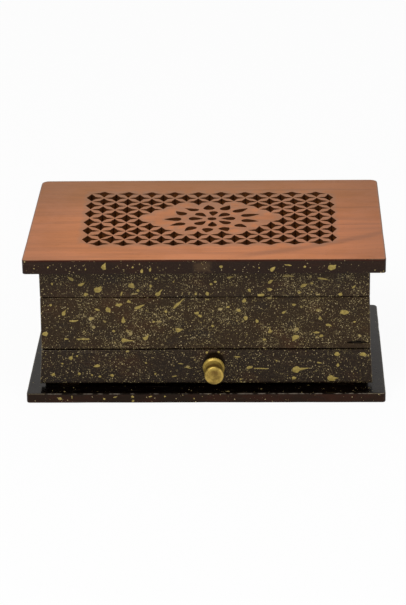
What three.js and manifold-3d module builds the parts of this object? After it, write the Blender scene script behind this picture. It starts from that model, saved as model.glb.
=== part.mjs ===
// Pierced decorative box: painted wooden box with a drawer below and a fretted, hinged lid on top.
// Millimetres, +Z up, front towards -Y, origin at the middle of the base board's underside.
import * as THREE from 'three';
import { mergeVertices } from 'three/addons/utils/BufferGeometryUtils.js';
import Module from 'manifold-3d';

const wasm = await Module();
wasm.setup();

// Box body
const bodyWidth = 187;
const bodyDepth = 114;
const wall = 8;
const glueGap = 0.1;
const baseWidth = 206;
const baseDepth = 130;
const baseThickness = 5.8;
const cornerRadius = 2.5;
const plinthGap = 2.6;
const drawerFrontHeight = 21.2;
const frontBoardHeight = 31.6;
const lidRailHeight = 17.4;
const lidThickness = 8.5;
const drawerSeam = 0.8;
const lidSeam = 0.4;
const plyThickness = 3;
const liningThickness = 1.2;

// Lid board
const lidWidth = 204;
const lidDepth = 130;

// Drawer; its front is cut a little longer than the body is wide, and spreads towards its lower edge
const frontReachAtTop = { left: 0.5, right: 1 };
const frontReachAtBottom = 2.2;
const runnerWidth = 12;
const drawerBoard = 5;
const drawerSideClearance = 1;
const drawerTopClearance = 1.6;
const drawerBackClearance = 1;
const drawerRunClearance = 0.2;

// Fretwork: rows and columns of four-cusped holes, staggered like overlapping circles
const columnCount = 21;
const rowCount = 13;
const columnPitch = 7.05;
const rowPitch = 6.79;
const latticeX = 2.5;
const latticeY = 0.3;
const cuspWeb = 0.9;
const rowCuspWeb = 1.4;
const cuspPinch = 0.15;
const edgeBulge = 2.4;
const leftEdgeReach = 3.4;
const rightEdgeReach = 2.8;
const frontLeftDrift = 2.3;
const rightRowDrift = 2;
const backLeftDrift = 1.1;
const rowBow = { row: 4.8, reach: 7.2, amount: 1.4 };
const rowSpreads = [{ row: 7.4, width: 1.8, amount: 0.9 }, { row: 10.7, width: 1, amount: -0.7 }];
const fieldReach = 5;
const fieldRows = 3;
const cuspSteps = 3;

// Rosette in the middle of the fretwork
const rosetteX = 3.2;
const rosetteY = -0.7;
const eyeWidth = 5.4;
const eyeHeight = 4.8;
const innerPetalAngles = [2, 43, 86, 134, 178, 226, 273, 322];
const innerPetalTip = 4.8;
const innerPetalEnd = 12.8;
const innerSideStretch = 1.07;
const outerPetalAngles = [15, 40, 66, 97, 126, 155, 181, 204, 232, 263, 295, 326, 351];
const outerPetalTips = [24.6, 24.4, 23.4, 22.6, 22.4, 22.2, 23.8, 23, 23.2, 22, 21.4, 22.2, 23.6];
const outerPetalStart = 15.1;
const outerSideStretch = 1.17;
const petalWidth = 4.8;
const petalFullness = 1.18;
const petalShoulder = 0.35;
const petalPointWidth = 0.1;
const petalRoundWidth = 0.9;
const petalSteps = 6;
const eyeSteps = 12;

// Knob
const knobX = 4.8;
const knobZ = 19;
const knobScrewRadius = 1.5;
const knobScrewLength = 13.5;
const knobBoreDepth = 6.5;
const panHeadRadius = 3;
const panHeadHeight = 1.8;
const panHeadTopRadius = 2.25;
const panHeadShoulder = 0.9;
const panSlotWidth = 0.7;
const panSlotDepth = 0.7;
const knobProfile = [
  [0, 0], [6.2, 0], [6.3, 0.4], [6.3, 0.9], [6.0, 2.1], [5.5, 3.5], [4.9, 5.2], [4.65, 6.2], [4.65, 8.7],
  [5.1, 9.4], [5.45, 10.1], [5.45, 11.1], [5.1, 11.65], [4.5, 11.95], [3.6, 11.9], [2.2, 11.6], [0, 11.4],
];

// Hinges
const hingeX = 58;
const leafWidth = 24;
const leafHeight = 10;
const leafThickness = 1;
const knuckleRadius = 1.8;
const hingeStandOff = 2;
const pinRadius = 0.9;
const pinHeadRadius = 1.4;
const pinHeadLength = 0.6;
const pinClearance = 0.05;
const knuckleCount = 5;
const knuckleGap = 0.25;
const leafRelief = 2.2;
const screwSpread = 7;
const screwHeadRadius = 1.75;
const screwHeadDepth = 0.85;
const screwRadius = 0.9;
const screwLength = 6.8;
const screwPointLength = 1.6;
const screwPointRadius = 0.3;
const screwPointFlat = 0.1;
const screwClearance = 0.1;
const slotWidth = 0.45;
const slotDepth = 0.35;

const roundSegments = 16;
const knobSegments = 28;

// Heights worked out from the boards, from the table up
const drawerFrontBottom = baseThickness + plinthGap;
const drawerFrontTop = drawerFrontBottom + drawerFrontHeight;
const frontBoardBottom = drawerFrontTop + drawerSeam;
const bodyTop = frontBoardBottom + frontBoardHeight;
const lidRailBottom = bodyTop + lidSeam;
const lidRailTop = lidRailBottom + lidRailHeight;
const lidBottom = lidRailTop + glueGap;
const lidTop = lidBottom + lidThickness;
const seamHeight = bodyTop + lidSeam / 2;

// Plan positions
const halfWidth = bodyWidth / 2;
const front = -bodyDepth / 2;
const back = bodyDepth / 2;
const innerX = halfWidth - wall;
const innerFront = front + wall;
const innerBack = back - wall;
const hingeY = back + hingeStandOff;

const paintedWood = new THREE.MeshStandardMaterial({ color: 0x2f2726, roughness: 0.45, metalness: 0 });
const stainedWood = new THREE.MeshStandardMaterial({ color: 0xb9734b, roughness: 0.4, metalness: 0 });
const plainWood = new THREE.MeshStandardMaterial({ color: 0x9a7350, roughness: 0.7, metalness: 0 });
const velvet = new THREE.MeshStandardMaterial({ color: 0x4a1016, roughness: 0.95, metalness: 0 });
const brass = new THREE.MeshStandardMaterial({ color: 0xc8a24a, roughness: 0.3, metalness: 1 });
const steel = new THREE.MeshStandardMaterial({ color: 0xa9a9a6, roughness: 0.35, metalness: 1 });

// Joining and cutting of closed meshes
function solidOf(geometry) {
  const plain = geometry.clone();
  plain.deleteAttribute('normal');
  plain.deleteAttribute('uv');
  const merged = mergeVertices(plain);
  const vertProperties = new Float32Array(merged.attributes.position.array);
  const triVerts = new Uint32Array(merged.index.array);
  return new wasm.Manifold(new wasm.Mesh({ numProp: 3, vertProperties, triVerts }));
}

function geometryOf(solid) {
  const mesh = solid.getMesh();
  const geometry = new THREE.BufferGeometry();
  geometry.setAttribute('position', new THREE.BufferAttribute(mesh.vertProperties, 3));
  geometry.setIndex(new THREE.BufferAttribute(mesh.triVerts, 1));
  return geometry;
}

function subtract(geometry, cutters) {
  const cut = cutters.reduce((solid, cutter) => solid.subtract(solidOf(cutter)), solidOf(geometry));
  return geometryOf(cut);
}

function join(geometries) {
  const [first, ...rest] = geometries.map(solidOf);
  return geometryOf(rest.reduce((solid, other) => solid.add(other), first));
}

function addPiece(group, name, geometry, material) {
  const mesh = new THREE.Mesh(geometry, material);
  mesh.name = name;
  group.add(mesh);
  return mesh;
}

// A board between two corners, with cutters given in the box's own frame
function addBoard(group, name, material, low, high, cutters = []) {
  const size = high.map((value, axis) => value - low[axis]);
  const middle = high.map((value, axis) => (value + low[axis]) / 2);
  const blank = new THREE.BoxGeometry(...size);
  const local = cutters.map((cutter) => cutter.clone().translate(-middle[0], -middle[1], -middle[2]));
  const geometry = local.length ? subtract(blank, local) : blank;
  addPiece(group, name, geometry, material).position.set(...middle);
}

// A turned piece from a profile of [radius, distance out], with its axis along Y
function turned(profile, segments, direction) {
  const points = profile.map(([radius, distance]) => new THREE.Vector2(radius, distance));
  const geometry = new THREE.LatheGeometry(points, segments);
  return direction > 0 ? geometry : geometry.rotateX(Math.PI);
}

function rodAlongY(radius, fromY, toY, x, z) {
  const rod = new THREE.CylinderGeometry(radius, radius, toY - fromY, roundSegments);
  return rod.translate(x, (fromY + toY) / 2, z);
}

function rodAlongX(radius, fromX, toX) {
  const rod = new THREE.CylinderGeometry(radius, radius, toX - fromX, roundSegments);
  return rod.rotateZ(Math.PI / 2).translate((fromX + toX) / 2, 0, 0);
}

// A flat board with rounded plan corners and any pierced holes
function roundedBoard(width, depth, thickness, holes) {
  const x = width / 2;
  const y = depth / 2;
  const r = cornerRadius;
  const outline = new THREE.Shape();
  outline.moveTo(-x + r, -y);
  outline.lineTo(x - r, -y);
  outline.absarc(x - r, -y + r, r, -Math.PI / 2, 0);
  outline.lineTo(x, y - r);
  outline.absarc(x - r, y - r, r, 0, Math.PI / 2);
  outline.lineTo(-x + r, y);
  outline.absarc(-x + r, y - r, r, Math.PI / 2, Math.PI);
  outline.lineTo(-x, -y + r);
  outline.absarc(-x + r, -y + r, r, Math.PI, Math.PI * 1.5);
  outline.holes = holes;
  return new THREE.ExtrudeGeometry(outline, { depth: thickness, bevelEnabled: false, curveSegments: 2 });
}

// One side of a four-cusped hole, drawn in towards the hole's middle
function cuspSide(x, y, from, to) {
  const control = new THREE.Vector2(x + (from.x + to.x) * cuspPinch, y + (from.y + to.y) * cuspPinch);
  const start = new THREE.Vector2(x + from.x, y + from.y);
  const end = new THREE.Vector2(x + to.x, y + to.y);
  return new THREE.QuadraticBezierCurve(start, control, end).getPoints(cuspSteps).slice(0, -1);
}

// The outer side of a hole at the lattice's edge, bulging a little outwards
function bulgeSide(x, y, from, to, bulge) {
  const control = new THREE.Vector2(x, y + bulge * 2);
  const start = new THREE.Vector2(x + from.x, y + from.y);
  const end = new THREE.Vector2(x + to.x, y + to.y);
  return new THREE.QuadraticBezierCurve(start, control, end).getPoints(cuspSteps).slice(0, -1);
}

// The rows were set out by hand: they bow, spread in the middle and climb a little to the right
function holeCentre(column, row) {
  const middleColumn = (columnCount - 1) / 2;
  const middleRow = (rowCount - 1) / 2;
  const rightness = column / (columnCount - 1);
  const frontness = Math.max(0, (middleRow - row) / middleRow);
  const backness = Math.max(0, (row - middleRow) / middleRow);
  const belowTop = Math.min(1, (rowCount - 1 - row) / middleRow);
  const bow = rowBow.amount * ((row - rowBow.row) / rowBow.reach) ** 2;
  const frontDrift = frontLeftDrift * frontness ** 2 * (1 - rightness);
  const backDrift = backLeftDrift * (backness * (1 - rightness)) ** 2;
  const climb = rightRowDrift * rightness ** 2 * belowTop;
  const spread = rowSpreads.reduce(
    (sum, { row: at, width, amount }) => sum + amount * Math.exp(-(((row - at) / width) ** 2)), 0);
  return new THREE.Vector2(
    latticeX + (column - middleColumn) * columnPitch - bow + frontDrift,
    latticeY + (row - middleRow) * rowPitch + climb + backDrift + spread,
  );
}

// A hole's tip, half way to the next hole in its row or column, less half of the web between them
function holeTip(column, row, columnStep, rowStep, web) {
  const half = holeCentre(column + columnStep, row + rowStep).sub(holeCentre(column, row)).divideScalar(2);
  return half.setLength(half.length() - web / 2);
}

function latticeHole(column, row) {
  const { x, y } = holeCentre(column, row);
  const atRightEdge = column === columnCount - 1;
  const right = atRightEdge ? new THREE.Vector2(rightEdgeReach, 0) : holeTip(column, row, 2, 0, cuspWeb);
  const left = column === 0 ? new THREE.Vector2(-leftEdgeReach, 0) : holeTip(column, row, -2, 0, cuspWeb);
  const up = holeTip(column, row, 0, 2, rowCuspWeb);
  const down = holeTip(column, row, 0, -2, rowCuspWeb);
  if (row === rowCount - 1) {
    return [
      ...bulgeSide(x, y, right, left, edgeBulge),
      ...cuspSide(x, y, left, down),
      ...cuspSide(x, y, down, right),
    ];
  }
  if (row === 0) {
    return [
      ...cuspSide(x, y, right, up),
      ...cuspSide(x, y, up, left),
      ...bulgeSide(x, y, left, right, -edgeBulge),
    ];
  }
  return [
    ...cuspSide(x, y, right, up),
    ...cuspSide(x, y, up, left),
    ...cuspSide(x, y, left, down),
    ...cuspSide(x, y, down, right),
  ];
}

// The middle of the lattice stays solid, as a pointed oval field round the rosette
function inField(column, row) {
  const across = Math.abs(column - (columnCount - 1) / 2);
  const along = Math.abs(row - (rowCount - 1) / 2);
  return across + along <= fieldReach && along <= fieldRows;
}

function latticeHoles() {
  const holes = [];
  for (let row = 0; row < rowCount; row += 1) {
    for (let column = 0; column < columnCount; column += 1) {
      const staggered = (row + column) % 2 === 1;
      if (staggered && !inField(column, row)) {
        holes.push(latticeHole(column, row));
      }
    }
  }
  return holes;
}

// A teardrop petal from its point to its round end, set along a ray of the rosette
function petal(pointRadius, roundRadius, angle, stretchX) {
  const length = roundRadius - pointRadius;
  const half = petalWidth * petalFullness;
  const point = new THREE.Vector2(pointRadius, 0);
  const end = new THREE.Vector2(roundRadius, 0);
  const nearPoint = pointRadius + length * petalShoulder;
  const one = new THREE.CubicBezierCurve(
    point,
    new THREE.Vector2(nearPoint, half * petalPointWidth),
    new THREE.Vector2(roundRadius, half * petalRoundWidth),
    end,
  );
  const two = new THREE.CubicBezierCurve(
    end,
    new THREE.Vector2(roundRadius, -half * petalRoundWidth),
    new THREE.Vector2(nearPoint, -half * petalPointWidth),
    point,
  );
  const outline = [
    ...one.getPoints(petalSteps).slice(0, -1),
    ...two.getPoints(petalSteps).slice(0, -1),
  ];
  const origin = new THREE.Vector2();
  return outline.map((place) => {
    const turnedPlace = place.clone().rotateAround(origin, angle);
    return new THREE.Vector2(rosetteX + turnedPlace.x * stretchX, rosetteY + turnedPlace.y);
  });
}

// Petals are set out by the angle at which they are seen, after the rosette is stretched sideways
function angleBeforeStretch(degrees, stretchX) {
  const seen = THREE.MathUtils.degToRad(degrees);
  return Math.atan2(Math.sin(seen), Math.cos(seen) / stretchX);
}

function rosetteHoles() {
  const eye = new THREE.EllipseCurve(rosetteX, rosetteY, eyeWidth / 2, eyeHeight / 2);
  const holes = [eye.getPoints(eyeSteps).slice(0, -1)];
  for (const degrees of innerPetalAngles) {
    const angle = angleBeforeStretch(degrees, innerSideStretch);
    holes.push(petal(innerPetalTip, innerPetalEnd, angle, innerSideStretch));
  }
  outerPetalAngles.forEach((degrees, index) => {
    const angle = angleBeforeStretch(degrees, outerSideStretch);
    holes.push(petal(outerPetalTips[index], outerPetalStart, angle, outerSideStretch));
  });
  return holes;
}

// A countersunk screw with a slotted head; its head lies at distance 0 and its point at -length
function screwGeometry() {
  const blank = new THREE.LatheGeometry([
    new THREE.Vector2(0, -screwLength),
    new THREE.Vector2(screwPointRadius, -screwLength + screwPointFlat),
    new THREE.Vector2(screwRadius, -screwLength + screwPointLength),
    new THREE.Vector2(screwRadius, -screwHeadDepth),
    new THREE.Vector2(screwHeadRadius, 0),
    new THREE.Vector2(0, 0),
  ], roundSegments);
  const slot = new THREE.BoxGeometry(screwHeadRadius * 3, slotDepth * 2, slotWidth);
  return subtract(blank, [slot]);
}

// The room that a hinge screw needs, in the leaf and in the wood behind it
function screwRoom(x, faceY, z) {
  const extra = screwClearance;
  const room = new THREE.LatheGeometry([
    new THREE.Vector2(0, -screwLength - extra * 2),
    new THREE.Vector2(screwRadius + extra, -screwLength - extra * 2),
    new THREE.Vector2(screwRadius + extra, -screwHeadDepth),
    new THREE.Vector2(screwHeadRadius + extra, 0),
    new THREE.Vector2(screwHeadRadius + extra, 1),
    new THREE.Vector2(0, 1),
  ], roundSegments);
  return room.translate(x, faceY, z);
}

const leafInnerY = back + glueGap;
const leafOuterY = leafInnerY + leafThickness;
const leafMiddle = leafRelief + (leafHeight - leafRelief) / 2;

function screwPlaces(side) {
  const places = [];
  for (const hinge of [-hingeX, hingeX]) {
    for (const across of [-screwSpread, screwSpread]) {
      places.push([hinge + across, leafOuterY, seamHeight + side * leafMiddle]);
    }
  }
  return places;
}

// A hinge leaf with its knuckles, in the frame of the hinge's axis; side is -1 below, +1 above
function leafGeometry(side) {
  const nearY = leafInnerY - hingeY;
  const plate = new THREE.BoxGeometry(leafWidth, leafThickness, leafHeight - leafRelief);
  plate.translate(0, nearY + leafThickness / 2, side * leafMiddle);
  const pitch = leafWidth / knuckleCount;
  const pieces = [plate];
  const firstKnuckle = side < 0 ? 0 : 1;
  for (let index = firstKnuckle; index < knuckleCount; index += 2) {
    const from = -leafWidth / 2 + index * pitch + knuckleGap / 2;
    const to = from + pitch - knuckleGap;
    const web = new THREE.BoxGeometry(to - from, leafThickness, leafRelief + 1);
    web.translate((from + to) / 2, nearY + leafThickness / 2, side * (leafRelief + 1) / 2);
    pieces.push(rodAlongX(knuckleRadius, from, to), web);
  }
  const bore = rodAlongX(pinRadius + pinClearance, -leafWidth, leafWidth);
  const faceY = leafOuterY - hingeY;
  const screws = [-screwSpread, screwSpread].map((x) => screwRoom(x, faceY, side * leafMiddle));
  return subtract(join(pieces), [bore, ...screws]);
}

function pinGeometry() {
  const half = leafWidth / 2;
  const headFrom = half + knuckleGap;
  return join([
    rodAlongX(pinRadius, -headFrom - pinHeadLength / 2, headFrom + pinHeadLength / 2),
    rodAlongX(pinHeadRadius, headFrom, headFrom + pinHeadLength),
    rodAlongX(pinHeadRadius, -headFrom - pinHeadLength, -headFrom),
  ]);
}

function addScrews(group, name, places) {
  places.forEach((place, index) => {
    addPiece(group, `${name}_${index + 1}`, screwGeometry(), brass).position.set(...place);
  });
}

// Carcass: base, sides, back, upper front, the shelf that floors the tray, and the drawer's runners
function buildBody() {
  const group = new THREE.Group();
  const boardBottom = baseThickness + glueGap;
  const sideFront = innerFront + glueGap;
  const sideBack = innerBack - glueGap;
  const shelfBottom = frontBoardBottom + glueGap;
  const shelfTop = shelfBottom + plyThickness;
  const inside = innerX - glueGap;
  addPiece(group, 'base_board', roundedBoard(baseWidth, baseDepth, baseThickness, []), paintedWood);
  addBoard(group, 'left_side', paintedWood,
    [-halfWidth, sideFront, boardBottom], [-innerX, sideBack, bodyTop]);
  addBoard(group, 'right_side', paintedWood,
    [innerX, sideFront, boardBottom], [halfWidth, sideBack, bodyTop]);
  addBoard(group, 'back_board', paintedWood,
    [-halfWidth, innerBack, boardBottom], [halfWidth, back, bodyTop],
    screwPlaces(-1).map((place) => screwRoom(...place)));
  addBoard(group, 'front_board', paintedWood,
    [-halfWidth, front, frontBoardBottom], [halfWidth, innerFront, bodyTop]);
  addBoard(group, 'tray_floor', plainWood, [-inside, sideFront, shelfBottom], [inside, sideBack, shelfTop]);
  addBoard(group, 'tray_lining', velvet,
    [-inside, sideFront, shelfTop + glueGap], [inside, sideBack, shelfTop + glueGap + liningThickness]);
  const runnerTop = drawerFrontBottom - drawerRunClearance;
  addBoard(group, 'left_runner', plainWood,
    [-inside, sideFront, boardBottom], [-inside + runnerWidth, sideBack, runnerTop]);
  addBoard(group, 'right_runner', plainWood,
    [inside - runnerWidth, sideFront, boardBottom], [inside, sideBack, runnerTop]);
  return group;
}

// Drawer: overlay front, thin sides, back and bottom, lining, knob and its screw
function buildDrawer() {
  const group = new THREE.Group();
  const outerX = innerX - drawerSideClearance;
  const drawerInner = outerX - drawerBoard;
  const boxFront = innerFront + glueGap;
  const boxBack = innerBack - drawerBackClearance;
  const boxTop = frontBoardBottom + glueGap - drawerTopClearance;
  const bottomInset = 0.3;
  const bottomLow = drawerFrontBottom + bottomInset;
  const bottomHigh = bottomLow + plyThickness;
  const floorX = drawerInner - glueGap;
  const floorBack = boxBack - drawerBoard - glueGap;
  const screwHole = rodAlongY(knobScrewRadius + screwClearance, front - 1, innerFront + 1, knobX, knobZ);
  const face = new THREE.Shape([
    new THREE.Vector2(-halfWidth - frontReachAtBottom, drawerFrontBottom),
    new THREE.Vector2(halfWidth + frontReachAtBottom, drawerFrontBottom),
    new THREE.Vector2(halfWidth + frontReachAtTop.right, drawerFrontTop),
    new THREE.Vector2(-halfWidth - frontReachAtTop.left, drawerFrontTop),
  ]);
  const frontBlank = new THREE.ExtrudeGeometry(face, { depth: wall, bevelEnabled: false });
  frontBlank.rotateX(Math.PI / 2).translate(0, innerFront, 0);
  addPiece(group, 'drawer_front', subtract(frontBlank, [screwHole]), paintedWood);
  addBoard(group, 'drawer_left_side', plainWood,
    [-outerX, boxFront, drawerFrontBottom], [-drawerInner, boxBack, boxTop]);
  addBoard(group, 'drawer_right_side', plainWood,
    [drawerInner, boxFront, drawerFrontBottom], [outerX, boxBack, boxTop]);
  addBoard(group, 'drawer_back', plainWood,
    [-floorX, boxBack - drawerBoard, drawerFrontBottom], [floorX, boxBack, boxTop]);
  addBoard(group, 'drawer_bottom', plainWood,
    [-floorX, boxFront, bottomLow], [floorX, floorBack, bottomHigh]);
  addBoard(group, 'drawer_lining', velvet,
    [-floorX, boxFront, bottomHigh + glueGap], [floorX, floorBack, bottomHigh + glueGap + liningThickness]);

  const knobBore = rodAlongY(knobScrewRadius + screwClearance, -1, knobBoreDepth, 0, 0).rotateX(Math.PI);
  const knob = subtract(turned(knobProfile, knobSegments, -1), [knobBore]);
  addPiece(group, 'knob', knob, brass).position.set(knobX, front - glueGap, knobZ);

  const screwProfile = [
    [0, 0], [knobScrewRadius, 0], [knobScrewRadius, knobScrewLength], [panHeadRadius, knobScrewLength],
    [panHeadRadius, knobScrewLength + panHeadShoulder],
    [panHeadTopRadius, knobScrewLength + panHeadHeight], [0, knobScrewLength + panHeadHeight],
  ];
  const slot = new THREE.BoxGeometry(panHeadRadius * 3, panSlotDepth * 2, panSlotWidth);
  slot.translate(0, knobScrewLength + panHeadHeight, 0);
  const screw = subtract(turned(screwProfile, roundSegments, 1), [slot]);
  const screwTip = innerFront + glueGap - knobScrewLength;
  addPiece(group, 'knob_screw', screw, steel).position.set(knobX, screwTip, knobZ);
  return group;
}

// Lid: pierced board on a frame of four rails, with a lined card under the fretwork
function buildLid() {
  const group = new THREE.Group();
  const holes = [...latticeHoles(), ...rosetteHoles()].map((points) => new THREE.Path(points));
  const board = roundedBoard(lidWidth, lidDepth, lidThickness, holes);
  addPiece(group, 'lid_board', board, stainedWood).position.set(0, 0, lidBottom);
  const railFront = innerFront + glueGap;
  const railBack = innerBack - glueGap;
  addBoard(group, 'lid_front_rail', paintedWood,
    [-halfWidth, front, lidRailBottom], [halfWidth, innerFront, lidRailTop]);
  addBoard(group, 'lid_back_rail', paintedWood,
    [-halfWidth, innerBack, lidRailBottom], [halfWidth, back, lidRailTop],
    screwPlaces(1).map((place) => screwRoom(...place)));
  addBoard(group, 'lid_left_rail', paintedWood,
    [-halfWidth, railFront, lidRailBottom], [-innerX, railBack, lidRailTop]);
  addBoard(group, 'lid_right_rail', paintedWood,
    [innerX, railFront, lidRailBottom], [halfWidth, railBack, lidRailTop]);
  const liningTop = lidBottom - glueGap;
  const inside = innerX - glueGap;
  addBoard(group, 'lid_lining', velvet,
    [-inside, railFront, liningTop - liningThickness], [inside, railBack, liningTop]);
  return group;
}

// Two butt hinges screwed on the back
function buildHinges() {
  const group = new THREE.Group();
  for (const [name, x] of [['left', -hingeX], ['right', hingeX]]) {
    const hinge = new THREE.Group();
    hinge.position.set(x, hingeY, seamHeight);
    addPiece(hinge, `${name}_hinge_body_leaf`, leafGeometry(-1), brass);
    addPiece(hinge, `${name}_hinge_lid_leaf`, leafGeometry(1), brass);
    addPiece(hinge, `${name}_hinge_pin`, pinGeometry(), brass);
    group.add(hinge);
  }
  addScrews(group, 'body_leaf_screw', screwPlaces(-1));
  addScrews(group, 'lid_leaf_screw', screwPlaces(1));
  return group;
}

const box = new THREE.Group();
box.name = 'pierced_box';
box.add(buildBody(), buildDrawer(), buildLid(), buildHinges());
console.log(`height ${lidTop.toFixed(2)} mm, hinge axis y ${hingeY.toFixed(2)} z ${seamHeight.toFixed(2)}`);

export default box;
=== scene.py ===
import math
import random

import bmesh
import bpy
from mathutils import Matrix, Vector, noise
from mathutils.geometry import delaunay_2d_cdt


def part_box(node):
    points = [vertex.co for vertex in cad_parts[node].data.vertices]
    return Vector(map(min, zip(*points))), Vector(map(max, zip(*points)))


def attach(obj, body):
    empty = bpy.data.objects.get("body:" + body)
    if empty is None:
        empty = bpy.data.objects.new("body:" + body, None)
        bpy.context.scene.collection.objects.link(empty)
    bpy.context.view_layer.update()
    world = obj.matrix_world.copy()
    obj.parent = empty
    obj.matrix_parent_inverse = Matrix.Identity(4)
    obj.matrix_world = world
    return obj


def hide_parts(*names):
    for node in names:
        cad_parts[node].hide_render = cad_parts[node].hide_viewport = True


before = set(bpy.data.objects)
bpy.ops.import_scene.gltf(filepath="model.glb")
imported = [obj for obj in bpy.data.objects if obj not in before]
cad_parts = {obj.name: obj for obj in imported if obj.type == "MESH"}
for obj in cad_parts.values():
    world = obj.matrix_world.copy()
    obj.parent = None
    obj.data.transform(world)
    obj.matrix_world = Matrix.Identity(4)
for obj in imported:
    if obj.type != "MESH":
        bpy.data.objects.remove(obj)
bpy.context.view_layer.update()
mm = 0.001
print("frame loaded")


# Small helpers for node trees

def screenColour(red, green, blue):
    def toLinear(value):
        part = value / 255
        return part / 12.92 if part <= 0.04045 else ((part + 0.055) / 1.055) ** 2.4
    return (toLinear(red), toLinear(green), toLinear(blue), 1.0)


def feed(tree, socket, value):
    # a value is another socket, a number, or a colour as it looks on screen
    if isinstance(value, bpy.types.NodeSocket):
        tree.links.new(value, socket)
    elif socket.type == "RGBA":
        socket.default_value = screenColour(*value)
    else:
        socket.default_value = value


def calc(tree, operation, *values):
    node = tree.nodes.new("ShaderNodeMath")
    node.operation = operation
    for socket, value in zip(node.inputs, values):
        feed(tree, socket, value)
    return node.outputs[0]


def times(tree, first, second):
    return calc(tree, "MULTIPLY", first, second)


def plus(tree, first, second):
    return calc(tree, "ADD", first, second)


def minus(tree, first, second):
    return calc(tree, "SUBTRACT", first, second)


def larger(tree, first, second):
    return calc(tree, "MAXIMUM", first, second)


def scaled(tree, value, factor, offset):
    return calc(tree, "MULTIPLY_ADD", value, factor, offset)


def remap(tree, value, low, high, toLow=0.0, toHigh=1.0):
    node = tree.nodes.new("ShaderNodeMapRange")
    node.interpolation_type = "SMOOTHSTEP"
    for socket, given in zip(node.inputs, (value, low, high, toLow, toHigh)):
        feed(tree, socket, given)
    return node.outputs[0]


def blend(tree, amount, first, second):
    node = tree.nodes.new("ShaderNodeMix")
    node.data_type = "RGBA"
    feed(tree, node.inputs[0], amount)
    feed(tree, node.inputs[6], first)
    feed(tree, node.inputs[7], second)
    return node.outputs[2]


def layered(tree, colour, layers):
    # each layer: how much of it shows, and its colour
    for amount, above in layers:
        colour = blend(tree, amount, colour, above)
    return colour


def stretched(tree, vector, scale, turn=(0, 0, 0), shift=(0, 0, 0)):
    node = tree.nodes.new("ShaderNodeMapping")
    feed(tree, node.inputs["Vector"], vector)
    node.inputs["Location"].default_value = shift
    node.inputs["Rotation"].default_value = turn
    node.inputs["Scale"].default_value = scale
    return node.outputs[0]


def cloud(tree, vector, scale, detail=3.0, roughness=0.55, distortion=0.0,
          turn=(0, 0, 0), shift=(0, 0, 0), output="Fac"):
    # a scale of three parts stretches the cloud
    if isinstance(scale, tuple):
        vector = stretched(tree, vector, scale, turn, shift)
        scale = 1.0
    node = tree.nodes.new("ShaderNodeTexNoise")
    feed(tree, node.inputs["Vector"], vector)
    node.inputs["Scale"].default_value = scale
    node.inputs["Detail"].default_value = detail
    node.inputs["Roughness"].default_value = roughness
    node.inputs["Distortion"].default_value = distortion
    return node.outputs[output]


def cells(tree, vector, scale):
    node = tree.nodes.new("ShaderNodeTexVoronoi")
    feed(tree, node.inputs["Vector"], vector)
    node.inputs["Scale"].default_value = scale
    return node.outputs


def attribute(tree, name):
    node = tree.nodes.new("ShaderNodeAttribute")
    node.attribute_name = name
    return node.outputs["Fac"]


def axes(tree, vector):
    node = tree.nodes.new("ShaderNodeSeparateXYZ")
    feed(tree, node.inputs[0], vector)
    return node.outputs


def axesInMm(tree, vector):
    return axes(tree, stretched(tree, vector, (1 / mm, 1 / mm, 1 / mm)))


def newGroup(name, amounts, masks):
    # every group takes a Vector and some amounts, and puts out masks
    tree = bpy.data.node_groups.new(name, "ShaderNodeTree")
    tree.interface.new_socket("Vector", in_out="INPUT", socket_type="NodeSocketVector")
    for label, value in amounts.items():
        socket = tree.interface.new_socket(label, in_out="INPUT", socket_type="NodeSocketFloat")
        socket.default_value = value
    for label in masks:
        tree.interface.new_socket(label, in_out="OUTPUT", socket_type="NodeSocketFloat")
    given = tree.nodes.new("NodeGroupInput").outputs
    result = tree.nodes.new("NodeGroupOutput").inputs
    return tree, given, result


def useGroup(tree, group, vector, amounts=()):
    node = tree.nodes.new("ShaderNodeGroup")
    node.node_tree = group
    feed(tree, node.inputs["Vector"], vector)
    for label, value in dict(amounts).items():
        feed(tree, node.inputs[label], value)
    return node.outputs


# Effects that several finishes share

def buildWoodFigure():
    # the line spacing is in millimetres
    tree, given, result = newGroup("woodFigure", {"Line Spacing": 6.0}, ["Grain", "Lines", "Pores"])
    vector = given["Vector"]
    broad = cloud(tree, vector, (9, 95, 95), 4.0, 0.6, 0.4)
    fine = cloud(tree, vector, (38, 900, 900), 3.0, 0.6)
    feed(tree, result["Grain"], plus(tree, times(tree, broad, 0.62), times(tree, fine, 0.38)))
    x, y, z = axesInMm(tree, vector)
    bend = times(tree, cloud(tree, vector, (14, 22, 22), 2.0), 55.0)
    across = plus(tree, plus(tree, y, z), bend)
    wave = calc(tree, "SINE", times(tree, calc(tree, "DIVIDE", across, given["Line Spacing"]), math.tau))
    sharpLine = calc(tree, "POWER", scaled(tree, wave, 0.5, 0.5), 5.0)
    comesAndGoes = remap(tree, cloud(tree, vector, (11, 30, 30), 2.0, shift=(3, 1, 2)), 0.42, 0.68)
    feed(tree, result["Lines"], times(tree, sharpLine, comesAndGoes))
    dashes = cloud(tree, vector, (210, 3300, 3300), 1.0)
    feed(tree, result["Pores"], remap(tree, dashes, 0.66, 0.76))
    return tree


# each layer of spatter: its amount, cell in millimetres, reach of its largest drop in cells, stretch,
# turn, shift, and how pale its palest drop is
spatterLayers = [
    ("Dust", 0.48, 0.42, (1, 1, 1), 0.0, (0.21, 0.07, 0.33), 0.8),
    ("Mist", 0.8, 0.42, (1, 1, 1), 0.0, (0, 0, 0), 1.0),
    ("Flecks", 1.75, 0.36, (1, 1, 1), 0.0, (0.31, 0.17, 0.12), 0.4),
    ("Spots", 4.6, 0.31, (0.82, 1, 1), 0.35, (0.11, 0.43, 0.27), 0.2),
    ("Streaks", 3.1, 0.24, (0.24, 0.8, 1), -0.16, (0.53, 0.21, 0.37), 0.2),
]


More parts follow.
